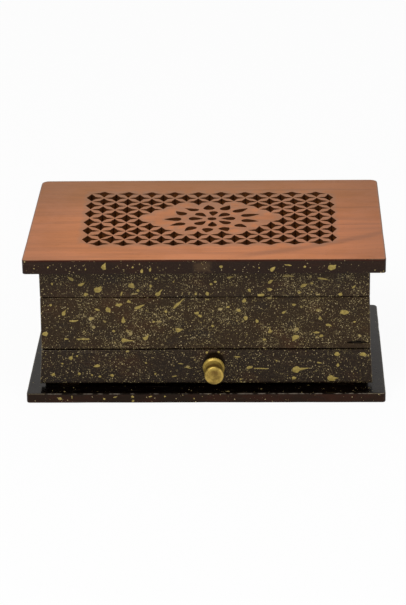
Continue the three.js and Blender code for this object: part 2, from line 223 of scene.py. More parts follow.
def buildGoldSplatter(layers):
    amounts = {"Dust": 0.4, "Mist": 0.6, "Flecks": 0.4, "Spots": 0.2, "Streaks": 0.1}
    tree, given, result = newGroup("goldSplatter", amounts, ["Gold", "Tone"])
    vector = given["Vector"]
    density = remap(tree, cloud(tree, vector, 62.0, 4.0, 0.7), 0.38, 0.62, 0.2, 1.1)
    total = 0.0
    tone = 0.0
    for label, cell, reach, stretch, turn, shift, palest in layers:
        width = cell * mm
        push = tree.nodes.new("ShaderNodeVectorMath")
        push.operation = "MULTIPLY_ADD"
        feed(tree, push.inputs[0], cloud(tree, vector, 1.3 / width, 2.0, 0.5, output="Color"))
        push.inputs[1].default_value = [width * 0.42] * 3
        feed(tree, push.inputs[2], stretched(tree, vector, stretch, (0, turn, 0), shift))
        drop = cells(tree, push.outputs[0], 1 / width)
        chance = tree.nodes.new("ShaderNodeSeparateColor")
        feed(tree, chance.inputs[0], drop["Color"])
        size, rarity, paleness = chance.outputs
        radius = scaled(tree, calc(tree, "POWER", size, 1.6), reach * 0.75, reach * 0.3)
        spot = remap(tree, drop["Distance"], radius, times(tree, radius, 0.8))
        kept = calc(tree, "LESS_THAN", rarity, times(tree, given[label], density))
        mask = times(tree, spot, kept)
        tone = larger(tree, tone, times(tree, mask, times(tree, paleness, palest)))
        total = larger(tree, total, mask)
    feed(tree, result["Gold"], total)
    feed(tree, result["Tone"], tone)
    return tree


def buildArrisWear():
    tree, given, result = newGroup("arrisWear", {"Amount": 0.5}, ["Worn", "Near Arris"])
    vector = given["Vector"]
    nearness = attribute(tree, "arris")
    rough = cloud(tree, vector, 420.0, 4.0, 0.7)
    patches = cloud(tree, vector, (60, 90, 90), 2.0, shift=(1, 5, 2))
    level = plus(tree, times(tree, rough, 0.55), times(tree, patches, 0.75))
    level = plus(tree, level, minus(tree, given["Amount"], 1.1))
    feed(tree, result["Worn"], times(tree, remap(tree, level, 0.0, 0.22), remap(tree, nearness, 0.62, 0.9)))
    feed(tree, result["Near Arris"], nearness)
    return tree


def buildSurfaceMarks():
    tree, given, result = newGroup("surfaceMarks", {}, ["Smudge", "Scratches", "Dust"])
    vector = given["Vector"]
    feed(tree, result["Smudge"], remap(tree, cloud(tree, vector, 28.0, 4.0, 0.6, 0.6), 0.34, 0.7))
    lines = 0.0
    for stretch, turn in (((30, 1500, 1500), (0.2, 0.1, 0.5)), ((26, 1700, 1700), (0.1, 0.3, -0.9))):
        thin = remap(tree, cloud(tree, vector, stretch, 1.0, turn=turn), 0.735, 0.78)
        lines = larger(tree, lines, thin)
    feed(tree, result["Scratches"], lines)
    feed(tree, result["Dust"], remap(tree, cells(tree, vector, 420.0)["Distance"], 0.17, 0.1))
    return tree


woodFigure = buildWoodFigure()
goldSplatter = buildGoldSplatter(spatterLayers)
arrisWear = buildArrisWear()
surfaceMarks = buildSurfaceMarks()
print("shared effects built")


# Finishes; places in them are in millimetres, and colours are as they look on screen

def startFinish(name):
    finish = bpy.data.materials.new(name)
    finish.use_nodes = True
    place = finish.node_tree.nodes.new("ShaderNodeTexCoord").outputs["Object"]
    return finish, finish.node_tree, place


def endFinish(finish, colour, roughness, relief, bumpLook, plain):
    # bumpLook: strength and distance; plain: values that are the same all over
    tree = finish.node_tree
    shader = tree.nodes["Principled BSDF"]
    feed(tree, shader.inputs["Base Color"], colour)
    feed(tree, shader.inputs["Roughness"], roughness)
    for label, value in plain.items():
        shader.inputs[label].default_value = value
    bump = tree.nodes.new("ShaderNodeBump")
    for label, value in zip(("Strength", "Distance"), bumpLook):
        bump.inputs[label].default_value = value
    feed(tree, bump.inputs["Height"], relief)
    tree.links.new(bump.outputs[0], shader.inputs["Normal"])
    return finish


lidTopLook = {
    "pale": (195, 120, 73), "warm": (187, 112, 66), "shade": (134, 82, 52), "streak": (98, 64, 46),
    # (122, 84, 45) colours smudges and the painted sheen towards the back
    "grey": (122, 84, 45), "handled": (138, 104, 82), "rim": (62, 26, 14),
    "lineSpacing": 8.5, "warmFrom": (60, 135), "paintedSheenToBack": (-16, 64), "darkEnds": (66, 101.6),
    # each streak: y at x = 0, slope, bend, half width, strength, x where it starts
    "streaks": [(-60.8, 0.186, 0.00202, 2.8, 0.36, 20), (20.4, 0, 0, 0.35, 0.5, 70),
                (50, 0.02, -0.0002, 0.9, 0.35, 20), (-12, 0.01, 0.0004, 0.8, 0.3, 40)],
    "plain": {"Specular IOR Level": 0.28, "Specular Tint": (1.0, 0.86, 0.68, 1.0)},
}


def makeLidTopWood(look):
    finish, tree, place = startFinish("lidTopWood")
    figure = useGroup(tree, woodFigure, place, {"Line Spacing": look["lineSpacing"]})
    wear = useGroup(tree, arrisWear, place, {"Amount": 0.55})
    marks = useGroup(tree, surfaceMarks, place)
    x, y, z = axesInMm(tree, place)
    farRight = remap(tree, plus(tree, x, times(tree, figure["Grain"], 90.0)), *look["warmFrom"])
    layers = [
        (farRight, look["warm"]),
        (remap(tree, figure["Grain"], 0.42, 0.64, 0.0, 0.4), look["shade"]),
        (times(tree, figure["Lines"], 0.12), look["shade"]),
    ]
    wander = times(tree, cloud(tree, place, (30, 60, 60)), 6.0)
    for start, slope, bend, half, strength, begin in look["streaks"]:
        toRight = remap(tree, x, begin - 12, begin + 14)
        curve = times(tree, times(tree, x, x), bend)
        middle = plus(tree, scaled(tree, x, slope, start), curve)
        away = calc(tree, "ABSOLUTE", minus(tree, plus(tree, y, wander), middle))
        band = remap(tree, away, half * 1.9, half * 0.3, 0.0, strength)
        layers.append((times(tree, band, toRight), look["streak"]))
    # painted sheen: the top turns greyer towards the back and a little less so to the right, standing in for
    # light reflected off the satin finish
    paintedSheenBack = times(tree, remap(tree, y, *look["paintedSheenToBack"], 0.0, 0.6),
                        remap(tree, x, 0, 100, 1.0, 0.78))
    layers += [
        (paintedSheenBack, look["grey"]),
        (remap(tree, calc(tree, "ABSOLUTE", x), *look["darkEnds"], 0.0, 0.34), look["shade"]),
        (times(tree, figure["Pores"], 0.45), look["streak"]),
        (times(tree, marks["Smudge"], 0.16), look["grey"]),
        (remap(tree, wear["Near Arris"], 0.12, 0.4, 0.0, 0.42), look["handled"]),
        (remap(tree, wear["Near Arris"], 0.6, 1.0, 0.0, 0.8), look["rim"]),
    ]
    gloss = plus(tree, scaled(tree, marks["Smudge"], 0.12, 0.4), times(tree, figure["Pores"], 0.2))
    relief = minus(tree, times(tree, figure["Grain"], 0.5), figure["Pores"])
    colour = layered(tree, look["pale"], layers)
    return endFinish(finish, colour, gloss, relief, (0.35, 0.00008), look["plain"])


cutWoodLook = {
    "deep": (106, 58, 14), "top": (146, 100, 62), "scorch": (70, 36, 9), "lineSpacing": 4.0,
    # depths below the lid's top; the pale band nearest the top is painted light on the hole walls' upper edge
    "litBandDepth": (0.26, 0.06), "scorchDepth": (2.4, 1.0),
    "plain": {"Specular IOR Level": 0.2},
}


def makeCutWood(look, topHeight):
    finish, tree, place = startFinish("cutWood")
    figure = useGroup(tree, woodFigure, place, {"Line Spacing": look["lineSpacing"]})
    below = minus(tree, topHeight / mm, axesInMm(tree, place)[2])
    patchy = cloud(tree, place, 260.0)
    # painted light: the hole walls are paler, in patches, within a fraction of a millimetre of the top
    litNearTop = times(tree, remap(tree, below, *look["litBandDepth"], 0.0, 0.55), remap(tree, patchy, 0.35, 0.62))
    scorched = larger(tree, remap(tree, figure["Grain"], 0.4, 0.62), remap(tree, below, *look["scorchDepth"]))
    colour = layered(tree, look["deep"], [(scorched, look["scorch"]), (litNearTop, look["top"])])
    sawn = cloud(tree, place, (900, 900, 120), 2.0)
    return endFinish(finish, colour, scaled(tree, patchy, 0.25, 0.6), sawn, (0.4, 0.0001), look["plain"])


# short crack near the right end of the front board, also cut into the board further down
crack = {"x": 86.2, "z": 34.0, "half": 6.4, "height": 0.85, "depth": 1.0, "curl": 0.3,
         "darkHalf": 6.2, "darkHeight": 0.95, "bareFrom": (66, 74), "bareUnder": (33.7, 32.7)}

# gold: amounts of mist, flecks, spots and streaks
# the painted shadow round the knob and the pale patch: x, z, half width and half height; the painted
# highlight line on the base: z and y
paintLooks = {
    "boardPaint": {"body": (36, 25, 14), "warm": (50, 31, 17), "cool": (28, 22, 18),
                   "gold": (1.0, 0.72, 0.34, 0.2), "roughness": 0.2, "wear": 0.36, "grit": 0.4,
                   "specular": 0.24, "crack": crack},
    "railPaint": {"body": (36, 25, 17), "warm": (48, 29, 18), "cool": (29, 23, 21),
                  "gold": (1.0, 0.62, 0.24, 0.14), "roughness": 0.2, "wear": 0.34, "grit": 0.4,
                  "specular": 0.24},
    "drawerPaint": {"body": (26, 19, 15), "warm": (41, 25, 16), "cool": (20, 17, 18),
                    "gold": (0.62, 0.34, 0.14, 0.1), "roughness": 0.16, "wear": 0.3, "grit": 0.4,
                    "specular": 0.24, "knobShadow": (4.9, 21.1, 6.4, 7.4)},
    "lidEdgePaint": {"body": (27, 13, 11), "warm": (38, 17, 11), "cool": (21, 13, 13),
                     "gold": (0.11, 0.07, 0.06, 0.03), "roughness": 0.24, "wear": 0.3, "grit": 0.15,
                     "specular": 0.24, "redTop": 87.1, "patch": (-0.7, 84.0, 5.2, 3.2)},
    "basePaint": {"body": (3, 1, 1), "warm": (8, 3, 2), "cool": (4, 3, 3),
                  "gold": (0.05, 0.03, 0.015, 0.02), "roughness": 0.16, "wear": 0.5, "grit": 0.03,
                  "specular": 0.27, "redEdge": 5.4, "baseHighlightLine": (5.3, -64.4)},
}
paintTones = {
    # a painted shadow round the knob takes the near-black colour (7, 2, 1)
    "grit": (92, 77, 54), "crack": (3, 2, 2), "knobShadow": (7, 2, 1), "redTop": (48, 16, 9),
    # the pale line colour (150, 138, 124) is a painted highlight along the base's top front edge
    "patch": (88, 68, 46), "side": ((18, 6, 3), (38, 12, 5)), "line": (150, 138, 124),
    # (138, 124, 100) colours the wear and the painted highlight on the boards' upright end arrises
    "wearAndHighlight": (138, 124, 100), "scratch": (118, 106, 92), "olive": (129, 113, 66), "bright": (192, 174, 130),
    "tint": (1.0, 0.8, 0.62, 1.0), "dustShare": 0.36, "frontY": -56, "boardEnds": (91.8, 93),
}


def fromMiddle(tree, value, middle, half):
    # how far a place lies from the middle, counted in half widths
    return calc(tree, "DIVIDE", minus(tree, value, middle), half)


def crackMasks(tree, x, z, shape):
    along = fromMiddle(tree, x, shape["x"], shape["darkHalf"])
    curl = calc(tree, "COSINE", times(tree, along, 2.0))
    rise = minus(tree, z, scaled(tree, curl, shape["curl"], shape["z"]))
    above = calc(tree, "ABSOLUTE", calc(tree, "DIVIDE", rise, shape["darkHeight"]))
    dark = remap(tree, plus(tree, times(tree, along, along), above), 1.1, 0.75)
    bare = times(tree, remap(tree, x, *shape["bareFrom"]), remap(tree, z, *shape["bareUnder"]))
    return dark, bare


def knobShadowMask(tree, x, z, knobShadow):
    # painted shadow: a dark patch round and above the knob on the drawer's face
    middleX, middleZ, halfX, halfZ = knobShadow
    aside = fromMiddle(tree, x, middleX, halfX)
    above = fromMiddle(tree, z, middleZ, halfZ)
    away = calc(tree, "SQRT", plus(tree, times(tree, aside, aside), times(tree, above, above)))
    return remap(tree, away, 1.08, 0.9)


def patchMask(tree, place, x, z, patch):
    # pale patch in the middle of the lid's front edge
    middleX, middleZ, halfX, halfZ = patch
    aside = calc(tree, "ABSOLUTE", fromMiddle(tree, x, middleX, halfX))
    above = calc(tree, "ABSOLUTE", fromMiddle(tree, z, middleZ, halfZ))
    ragged = scaled(tree, cloud(tree, place, 430.0, 4.0, 0.75), 1.4, -0.7)
    return remap(tree, plus(tree, larger(tree, aside, above), ragged), 1.25, 0.4, 0.0, 0.4)


def makePaint(name, look, tones):
    finish, tree, place = startFinish(name)
    marks = useGroup(tree, surfaceMarks, place)
    wear = useGroup(tree, arrisWear, place, {"Amount": look["wear"]})
    amounts = dict(zip(("Mist", "Flecks", "Spots", "Streaks"), look["gold"]))
    amounts["Dust"] = amounts["Mist"] * tones["dustShare"]
    gold = useGroup(tree, goldSplatter, place, amounts)
    x, y, z = axesInMm(tree, place)
    inFront = calc(tree, "LESS_THAN", y, tones["frontY"])
    mottled = cloud(tree, place, (34, 34, 60), 4.0, 0.62)
    grit = cloud(tree, place, 1400.0, 2.0)
    layers = [
        (remap(tree, mottled, 0.5, 0.72), look["warm"]),
        (remap(tree, mottled, 0.46, 0.3), look["cool"]),
        (remap(tree, grit, 0.5, 0.72, 0.0, look["grit"]), tones["grit"]),
    ]
    hidden = 0.0  # where no gold shows
    if "crack" in look:
        dark, bare = crackMasks(tree, x, z, look["crack"])
        dark = times(tree, dark, inFront)
        hidden = larger(tree, dark, times(tree, bare, times(tree, inFront, 0.85)))
        layers.append((dark, tones["crack"]))
    # painted shadow round the knob, where no gold shows
    if "knobShadow" in look:
        hidden = times(tree, knobShadowMask(tree, x, z, look["knobShadow"]), inFront)
        layers.append((hidden, tones["knobShadow"]))
    if "redTop" in look:
        layers.append((remap(tree, z, look["redTop"], look["redTop"] + 0.6), tones["redTop"]))
        rubbed = times(tree, patchMask(tree, place, x, z, look["patch"]), inFront)
        layers.append((rubbed, tones["patch"]))
    if "redEdge" in look:
        sideColour = blend(tree, remap(tree, mottled, 0.4, 0.62), *tones["side"])
        layers.append((remap(tree, z, look["redEdge"], look["redEdge"] - 0.3), sideColour))
        # painted highlight: a pale dashed line along the base's top front edge
        lineZ, lineY = look["baseHighlightLine"]
        line = times(tree, remap(tree, z, lineZ, lineZ + 0.3), remap(tree, y, lineY, lineY - 0.3))
        dashes = remap(tree, cloud(tree, place, (260, 60, 60), 2.0), 0.42, 0.66, 0.0, 0.45)
        layers.append((times(tree, line, dashes), tones["line"]))
    # along the seams the arrises get no gold; at the boards' ends they get real wear and a painted highlight
    # along the upright arrises
    nearEnd = remap(tree, calc(tree, "ABSOLUTE", x), *tones["boardEnds"])
    onArris = remap(tree, wear["Near Arris"], 0.72, 0.92)
    seam = times(tree, onArris, minus(tree, 1.0, nearEnd))
    splash = times(tree, gold["Gold"], minus(tree, 1.0, hidden))
    splash = times(tree, splash, scaled(tree, seam, -0.85, 1.0))
    # wear at the boards' ends, plus a painted highlight where the upright arrises catch light
    wearAndHighlight = times(tree, larger(tree, wear["Worn"], times(tree, onArris, 0.6)), nearEnd)
    layers += [
        (times(tree, wearAndHighlight, 0.5), tones["wearAndHighlight"]),
        (times(tree, marks["Scratches"], 0.16), tones["scratch"]),
        (splash, blend(tree, gold["Tone"], tones["olive"], tones["bright"])),
    ]
    gloss = plus(tree, scaled(tree, marks["Smudge"], 0.14, look["roughness"]), times(tree, splash, 0.12))
    relief = minus(tree, plus(tree, splash, times(tree, grit, 0.12)), marks["Scratches"])
    plain = {"Specular IOR Level": look["specular"], "Specular Tint": tones["tint"]}
    return endFinish(finish, layered(tree, look["body"], layers), gloss, relief, (0.45, 0.00008), plain)


dropColours = {"olive": (128, 110, 46), "pale": (164, 143, 72), "dirt": (92, 78, 38)}


def makeGoldDrop(look):
    finish, tree, place = startFinish("goldDrop")
    marks = useGroup(tree, surfaceMarks, place)
    flow = cloud(tree, place, 700.0, 4.0, 0.65)
    colour = layered(tree, look["olive"], [
        (remap(tree, flow, 0.36, 0.66), look["pale"]),
        (times(tree, marks["Dust"], 0.3), look["dirt"]),
    ])
    return endFinish(finish, colour, scaled(tree, flow, 0.3, 0.38), flow, (0.3, 0.00006), {"Metallic": 0.12})


innerWoodLook = {"pale": (168, 128, 88), "shade": (124, 86, 54), "pore": (84, 56, 34), "lineSpacing": 7.0}


def makeInnerWood(look):
    finish, tree, place = startFinish("innerWood")
    figure = useGroup(tree, woodFigure, place, {"Line Spacing": look["lineSpacing"]})
    marks = useGroup(tree, surfaceMarks, place)
    colour = layered(tree, look["pale"], [
        (remap(tree, figure["Grain"], 0.36, 0.64), look["shade"]),
        (times(tree, figure["Lines"], 0.5), look["shade"]),
        (times(tree, figure["Pores"], 0.7), look["pore"]),
        (times(tree, marks["Smudge"], 0.2), look["pore"]),
    ])
    relief = minus(tree, times(tree, figure["Grain"], 0.6), figure["Pores"])
    return endFinish(finish, colour, scaled(tree, figure["Grain"], 0.3, 0.5), relief, (0.45, 0.0001), {})


flockLook = {"deep": (62, 12, 20), "lit": (104, 28, 36), "brushed": (44, 8, 14),
             "plain": {"Sheen Weight": 0.35, "Sheen Roughness": 0.45}}


def makeFlock(look):
    finish, tree, place = startFinish("flock")
    nap = cloud(tree, place, 2600.0, 3.0, 0.7)
    brushed = cloud(tree, place, (45, 70, 60), 4.0, 0.6, 1.2)
    colour = layered(tree, look["deep"], [
        (remap(tree, nap, 0.34, 0.66), look["lit"]),
        (remap(tree, brushed, 0.46, 0.64, 0.0, 0.5), look["brushed"]),
    ])
    return endFinish(finish, colour, scaled(tree, brushed, 0.2, 0.78), nap, (0.6, 0.0002), look["plain"])


brassLooks = {
    "turnedBrass": {"clean": (194, 164, 80), "dull": (134, 110, 46), "dark": (86, 52, 10),
                    "roughness": 0.32, "metal": 0.6, "turned": True},
    "plateBrass": {"clean": (206, 172, 96), "dull": (150, 116, 52), "dark": (74, 52, 24),
                   "roughness": 0.28, "metal": 1.0, "turned": False},
}


def makeBrass(name, look):
    finish, tree, place = startFinish(name)
    marks = useGroup(tree, surfaceMarks, place)
    tarnish = cloud(tree, place, 240.0, 4.0, 0.65)
    layers = [
        (remap(tree, tarnish, 0.44, 0.68), look["dull"]),
        (times(tree, marks["Dust"], 0.35), look["dark"]),
    ]
    relief = times(tree, marks["Scratches"], -0.6)
    if look["turned"]:
        # painted shade and a painted dark reflection on the knob, from the value stored on its points
        layers.append((attribute(tree, "knobShade"), look["dark"]))
        toolMarks = calc(tree, "SINE", times(tree, axesInMm(tree, place)[1], 21.0))
        relief = plus(tree, relief, times(tree, toolMarks, 0.25))
    else:
        relief = plus(tree, relief, cloud(tree, place, (40, 900, 900), 2.0))
    gloss = scaled(tree, tarnish, 0.22, look["roughness"])
    return endFinish(finish, layered(tree, look["clean"], layers), gloss, relief, (0.25, 0.00004),
                     {"Metallic": look["metal"]})


steelLook = {"clean": (184, 184, 180), "stained": (112, 104, 94)}


def makeSteel(look):
    finish, tree, place = startFinish("screwSteel")
    marks = useGroup(tree, surfaceMarks, place)
    stain = cloud(tree, place, 300.0, 4.0, 0.6)
    colour = blend(tree, remap(tree, stain, 0.42, 0.7), look["clean"], look["stained"])
    relief = minus(tree, stain, marks["Scratches"])
    gloss = scaled(tree, stain, 0.3, 0.2)
    return endFinish(finish, colour, gloss, relief, (0.25, 0.00005), {"Metallic": 1.0})


lidTopWood = makeLidTopWood(lidTopLook)
cutWood = makeCutWood(cutWoodLook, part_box("lid_board")[1].z)
paints = {name: makePaint(name, look, paintTones) for name, look in paintLooks.items()}
goldDrop = makeGoldDrop(dropColours)
innerWood = makeInnerWood(innerWoodLook)
flock = makeFlock(flockLook)
brasses = {name: makeBrass(name, look) for name, look in brassLooks.items()}
screwSteel = makeSteel(steelLook)
print("finishes made")


# Mesh helpers

def addObject(name, bm, materials=()):
    mesh = bpy.data.meshes.new(name)
    bm.to_mesh(mesh)
    bm.free()
    for material in materials:
        mesh.materials.append(material)
    piece = bpy.data.objects.new(name, mesh)
    bpy.context.scene.collection.objects.link(piece)
    return piece


def finishPiece(name, bm, materials, creaseAngle=32, edgeValues=None):
    bmesh.ops.recalc_face_normals(bm, faces=bm.faces[:])
    piece = addObject(name, bm, materials)
    mesh = piece.data
    for polygon in mesh.polygons:
        polygon.use_smooth = True
    mesh.set_sharp_from_angle(angle=math.radians(creaseAngle))
    if edgeValues is not None:
        label, values = edgeValues
        layer = mesh.attributes.new(label, "FLOAT", "POINT")
        layer.data.foreach_set("value", values)
    return piece


def settle(piece, body, slotName, *nodes):
    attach(piece, body)
    if nodes:
        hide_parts(*nodes)
    return piece


def joinRings(bm, lower, upper, index=0):
    count = len(lower)
    for k in range(count):
        face = bm.faces.new((lower[k], lower[(k + 1) % count], upper[(k + 1) % count], upper[k]))
        face.material_index = index


def edgeDistance(point, low, high):
    gaps = sorted(min(point[i] - low[i], high[i] - point[i]) for i in range(3))
    return math.hypot(max(gaps[0], 0), max(gaps[1], 0))


boardShape = {"arris": 0.55, "support": 1.6, "step": 7.0, "wobble": 0.07, "wear": 0.22,
              "driftScale": 55, "biteScale": 90, "biteShift": (7, 3, 1)}


def makeBoard(name, node, body, material, slotName, shape, dents=()):
    low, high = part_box(node)
    size = high - low
    support = shape["support"] * mm
    bm = bmesh.new()
    bmesh.ops.create_cube(bm, size=1.0)
    for vert in bm.verts:
        vert.co = Vector([low[i] + (vert.co[i] + 0.5) * size[i] for i in range(3)])
    bmesh.ops.bevel(bm, geom=bm.edges[:], offset=shape["arris"] * mm, segments=3, profile=0.5, affect="EDGES")
    for axis in range(3):
        normal = Vector([float(axis == i) for i in range(3)])
        steps = int(size[axis] / (shape["step"] * mm))
        cuts = [low[axis] + support, high[axis] - support]
        cuts += [low[axis] + size[axis] * (k + 1) / (steps + 1) for k in range(steps)]
        for dent in dents:
            cuts += [value for value in dent["cuts"].get(axis, []) if low[axis] < value < high[axis]]
        for place in cuts:
            everything = bm.verts[:] + bm.edges[:] + bm.faces[:]
            bmesh.ops.bisect_plane(bm, geom=everything, plane_co=normal * place, plane_no=normal)
    values = [max(0.0, 1 - edgeDistance(vert.co, low, high) / support) for vert in bm.verts]
    middle = (low + high) / 2
    for vert, nearness in zip(bm.verts, values):
        drift = noise.noise_vector(vert.co * shape["driftScale"]) * shape["wobble"] * mm
        bite = max(0.0, noise.noise(vert.co * shape["biteScale"] + Vector(shape["biteShift"]))) ** 2
        inward = (middle - vert.co).normalized() * bite * nearness * shape["wear"] * mm
        moved = vert.co + drift + inward
        vert.co = Vector([min(max(moved[i], low[i]), high[i]) for i in range(3)])
        for dent in dents:
            vert.co += dent["push"](vert.co)
    piece = finishPiece(name, bm, [material], edgeValues=("arris", values))
    return settle(piece, body, slotName, node)


def drill(piece, centres, bore):
    # all bores run along Y; bore: radius and half length
    cutters = []
    for centre in centres:
        bm = bmesh.new()
        bmesh.ops.create_cone(bm, cap_ends=True, segments=20, radius1=bore["radius"] * mm,
                              radius2=bore["radius"] * mm, depth=bore["half"] * 2 * mm)
        bmesh.ops.rotate(bm, verts=bm.verts[:], matrix=Matrix.Rotation(math.pi / 2, 3, "X"))
        bmesh.ops.translate(bm, verts=bm.verts[:], vec=centre)
        cutters.append(addObject("cutter", bm))
        modifier = piece.modifiers.new("bore", "BOOLEAN")
        modifier.operation = "DIFFERENCE"
        modifier.object = cutters[-1]
    depsgraph = bpy.context.evaluated_depsgraph_get()
    bored = bpy.data.meshes.new_from_object(piece.evaluated_get(depsgraph))
    piece.modifiers.clear()
    piece.data = bored
    for cutter in cutters:
        bpy.data.objects.remove(cutter)


def roundedRing(halfX, halfY, radii, inset, sideSteps=(30, 19), cornerSteps=7):
    # radii: of the back corners, then of the front ones
    arcs = []
    for corner, (sx, sy) in enumerate(((1, 1), (-1, 1), (-1, -1), (1, -1))):
        r = max(radii[corner // 2] - inset, 0.15)
        x, y = sx * (halfX - inset - r), sy * (halfY - inset - r)
        turns = [math.pi / 2 * (corner + k / cornerSteps) for k in range(cornerSteps + 1)]
        arcs.append([(x + r * math.cos(turn), y + r * math.sin(turn)) for turn in turns])
    points = []
    for corner, arc in enumerate(arcs):
        points += arc
        startX, startY = arc[-1]
        endX, endY = arcs[(corner + 1) % 4][0]
        steps = sideSteps[corner % 2]
        shares = [k / steps for k in range(1, steps)]
        points += [(startX + (endX - startX) * share, startY + (endY - startY) * share) for share in shares]
    return points


def insidePolygon(x, y, polygon):
    inside = False
    for k, (ax, ay) in enumerate(polygon):
        bx, by = polygon[(k + 1) % len(polygon)]
        if (ay > y) != (by > y) and x < (bx - ax) * (y - ay) / (by - ay) + ax:
            inside = not inside
    return inside


def insideAny(x, y, outlines, reach=24):
    # an outline that starts further off than the reach is too far away to hold the point
    return any(insidePolygon(x, y, outline) for outline in outlines
               if abs(outline[0][0] - x) < reach and abs(outline[0][1] - y) < reach)


def widened(outline, amount):
    count = len(outline)
    area = sum(outline[k][0] * outline[(k + 1) % count][1] - outline[(k + 1) % count][0] * outline[k][1]
               for k in range(count))
    amount = math.copysign(amount, area)
    result = []
    for k, (x, y) in enumerate(outline):
        px, py = outline[k - 1]
        nx, ny = outline[(k + 1) % count]
        length = math.hypot(nx - px, ny - py)
        result.append((x + (ny - py) / length * amount, y - (nx - px) / length * amount))
    return result


# what the lid board and the base board have in common
slabMaking = {"netShift": (1.1, 0.7), "netMargin": 2, "holeMargin": 1.4, "holeTop": 0.45, "holeWall": 0.3,
              "driftScale": 38, "biteScale": 70, "biteRim": 1.2}


def fillPoints(halfX, halfY, shape, making, openings):
    step = shape["fill"]
    shiftX, shiftY = making["netShift"]
    margin = shape["support"] + making["netMargin"]
    blocked = [widened(outline, making["holeMargin"]) for outline in openings]
    points = []
    for i in range(int(-halfX / step) + 1, int(halfX / step)):
        for j in range(int(-halfY / step) + 1, int(halfY / step)):
            x, y = i * step + shiftX, j * step + shiftY
            if abs(x) <= halfX - margin and abs(y) <= halfY - margin and not insideAny(x, y, blocked):
                points.append((x, y))
    return points


def makeSlab(name, node, body, slotName, shape, making, materials, holes=()):
    # millimetres while it is built; rings run from the underside's rim up to the top's
    low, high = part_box(node)
    bottom, top = low.z / mm, high.z / mm
    halfX, halfY = (high.x - low.x) / 2 / mm, (high.y - low.y) / 2 / mm
    centreX, centreY = (high.x + low.x) / 2 / mm, (high.y + low.y) / 2 / mm
    arris, support, edgeIndex = shape["arris"], shape["support"], shape["edgeIndex"]
    soft = arris * (1 - math.sqrt(0.5))
    middle = (bottom + top) / 2
    profile = [(support, bottom, 0), (arris, bottom, 0.7), (soft, bottom + soft, 1), (0, bottom + arris, 0.7),
               (0, bottom + support, 0), (0, middle, 0), (0, top - support, 0), (0, top - arris, 0.7),
               (soft, top - soft, 1), (arris, top, 0.7), (support, top, 0)]
    bm = bmesh.new()
    values = []

    def addVert(x, y, z, value):
        values.append(value)
        return bm.verts.new((x + centreX, y + centreY, z))

    def addRing(points, z, value):
        return [addVert(x, y, z, value) for x, y in points]

    rings = [addRing(roundedRing(halfX, halfY, shape["corners"], inset), z, value)
             for inset, z, value in profile]
    for k, (lower, upper) in enumerate(zip(rings, rings[1:])):
        ontoTop = k >= len(rings) - 3
        joinRings(bm, lower, upper, 0 if ontoTop else edgeIndex)
    ease = shape.get("ease", 0)
    rim = roundedRing(halfX, halfY, shape["corners"], support)
    borders = {top: [(rings[-1], rim)], bottom: [(rings[0], rim)]}
    for outline in holes:
        local = [(x - centreX, y - centreY) for x, y in outline]
        wide = widened(local, ease)
        topRim = addRing(wide, top, making["holeTop"])
        upper = addRing(local, top - ease, making["holeWall"])
        lower = addRing(local, bottom + ease, 0)
        underRim = addRing(wide, bottom, 0)
        joinRings(bm, upper, topRim)
        joinRings(bm, lower, upper, 1)
        joinRings(bm, underRim, lower, 1)
        borders[top].append((topRim, wide))
        borders[bottom].append((underRim, wide))
    for height, rims in borders.items():
        openings = [outline for ring, outline in rims[1:]]
        known = []
        places = []
        edges = []
        for ring, outline in rims:
            start, count = len(known), len(ring)
            known += ring
            places += outline
            edges += [(start + k, start + (k + 1) % count) for k in range(count)]
        if height == top or not holes:
            for x, y in fillPoints(halfX, halfY, shape, making, openings):
                places.append((x, y))
                known.append(addVert(x, y, height, 0))
        net = delaunay_2d_cdt([Vector(place) for place in places], edges, [], 0, 1e-5)
        points, faces, sources = net[0], net[2], net[3]
        for face in faces:
            x = sum(points[k][0] for k in face) / 3
            y = sum(points[k][1] for k in face) / 3
            if not insideAny(x, y, openings):
                made = bm.faces.new([known[sources[k][0]] for k in face])
                made.material_index = 0 if height == top else edgeIndex
    innerX, innerY = (halfX - making["biteRim"]) * mm, (halfY - making["biteRim"]) * mm
    for vert in bm.verts:
        vert.co *= mm
        drift = noise.noise(vert.co * making["driftScale"]) * shape["wobble"] * mm
        vert.co.z = min(max(vert.co.z + drift, low.z), high.z)
        if abs(vert.co.y) > innerY or abs(vert.co.x) > innerX:
            bite = max(0.0, noise.noise(vert.co * making["biteScale"])) ** 2 * shape["wear"] * mm
            vert.co -= Vector((vert.co.x, vert.co.y, 0)).normalized() * bite
    piece = finishPiece(name, bm, materials, edgeValues=("arris", values))
    return settle(piece, body, slotName, node)


# The fretwork, set out as in the frame and then cut a little by hand; in millimetres

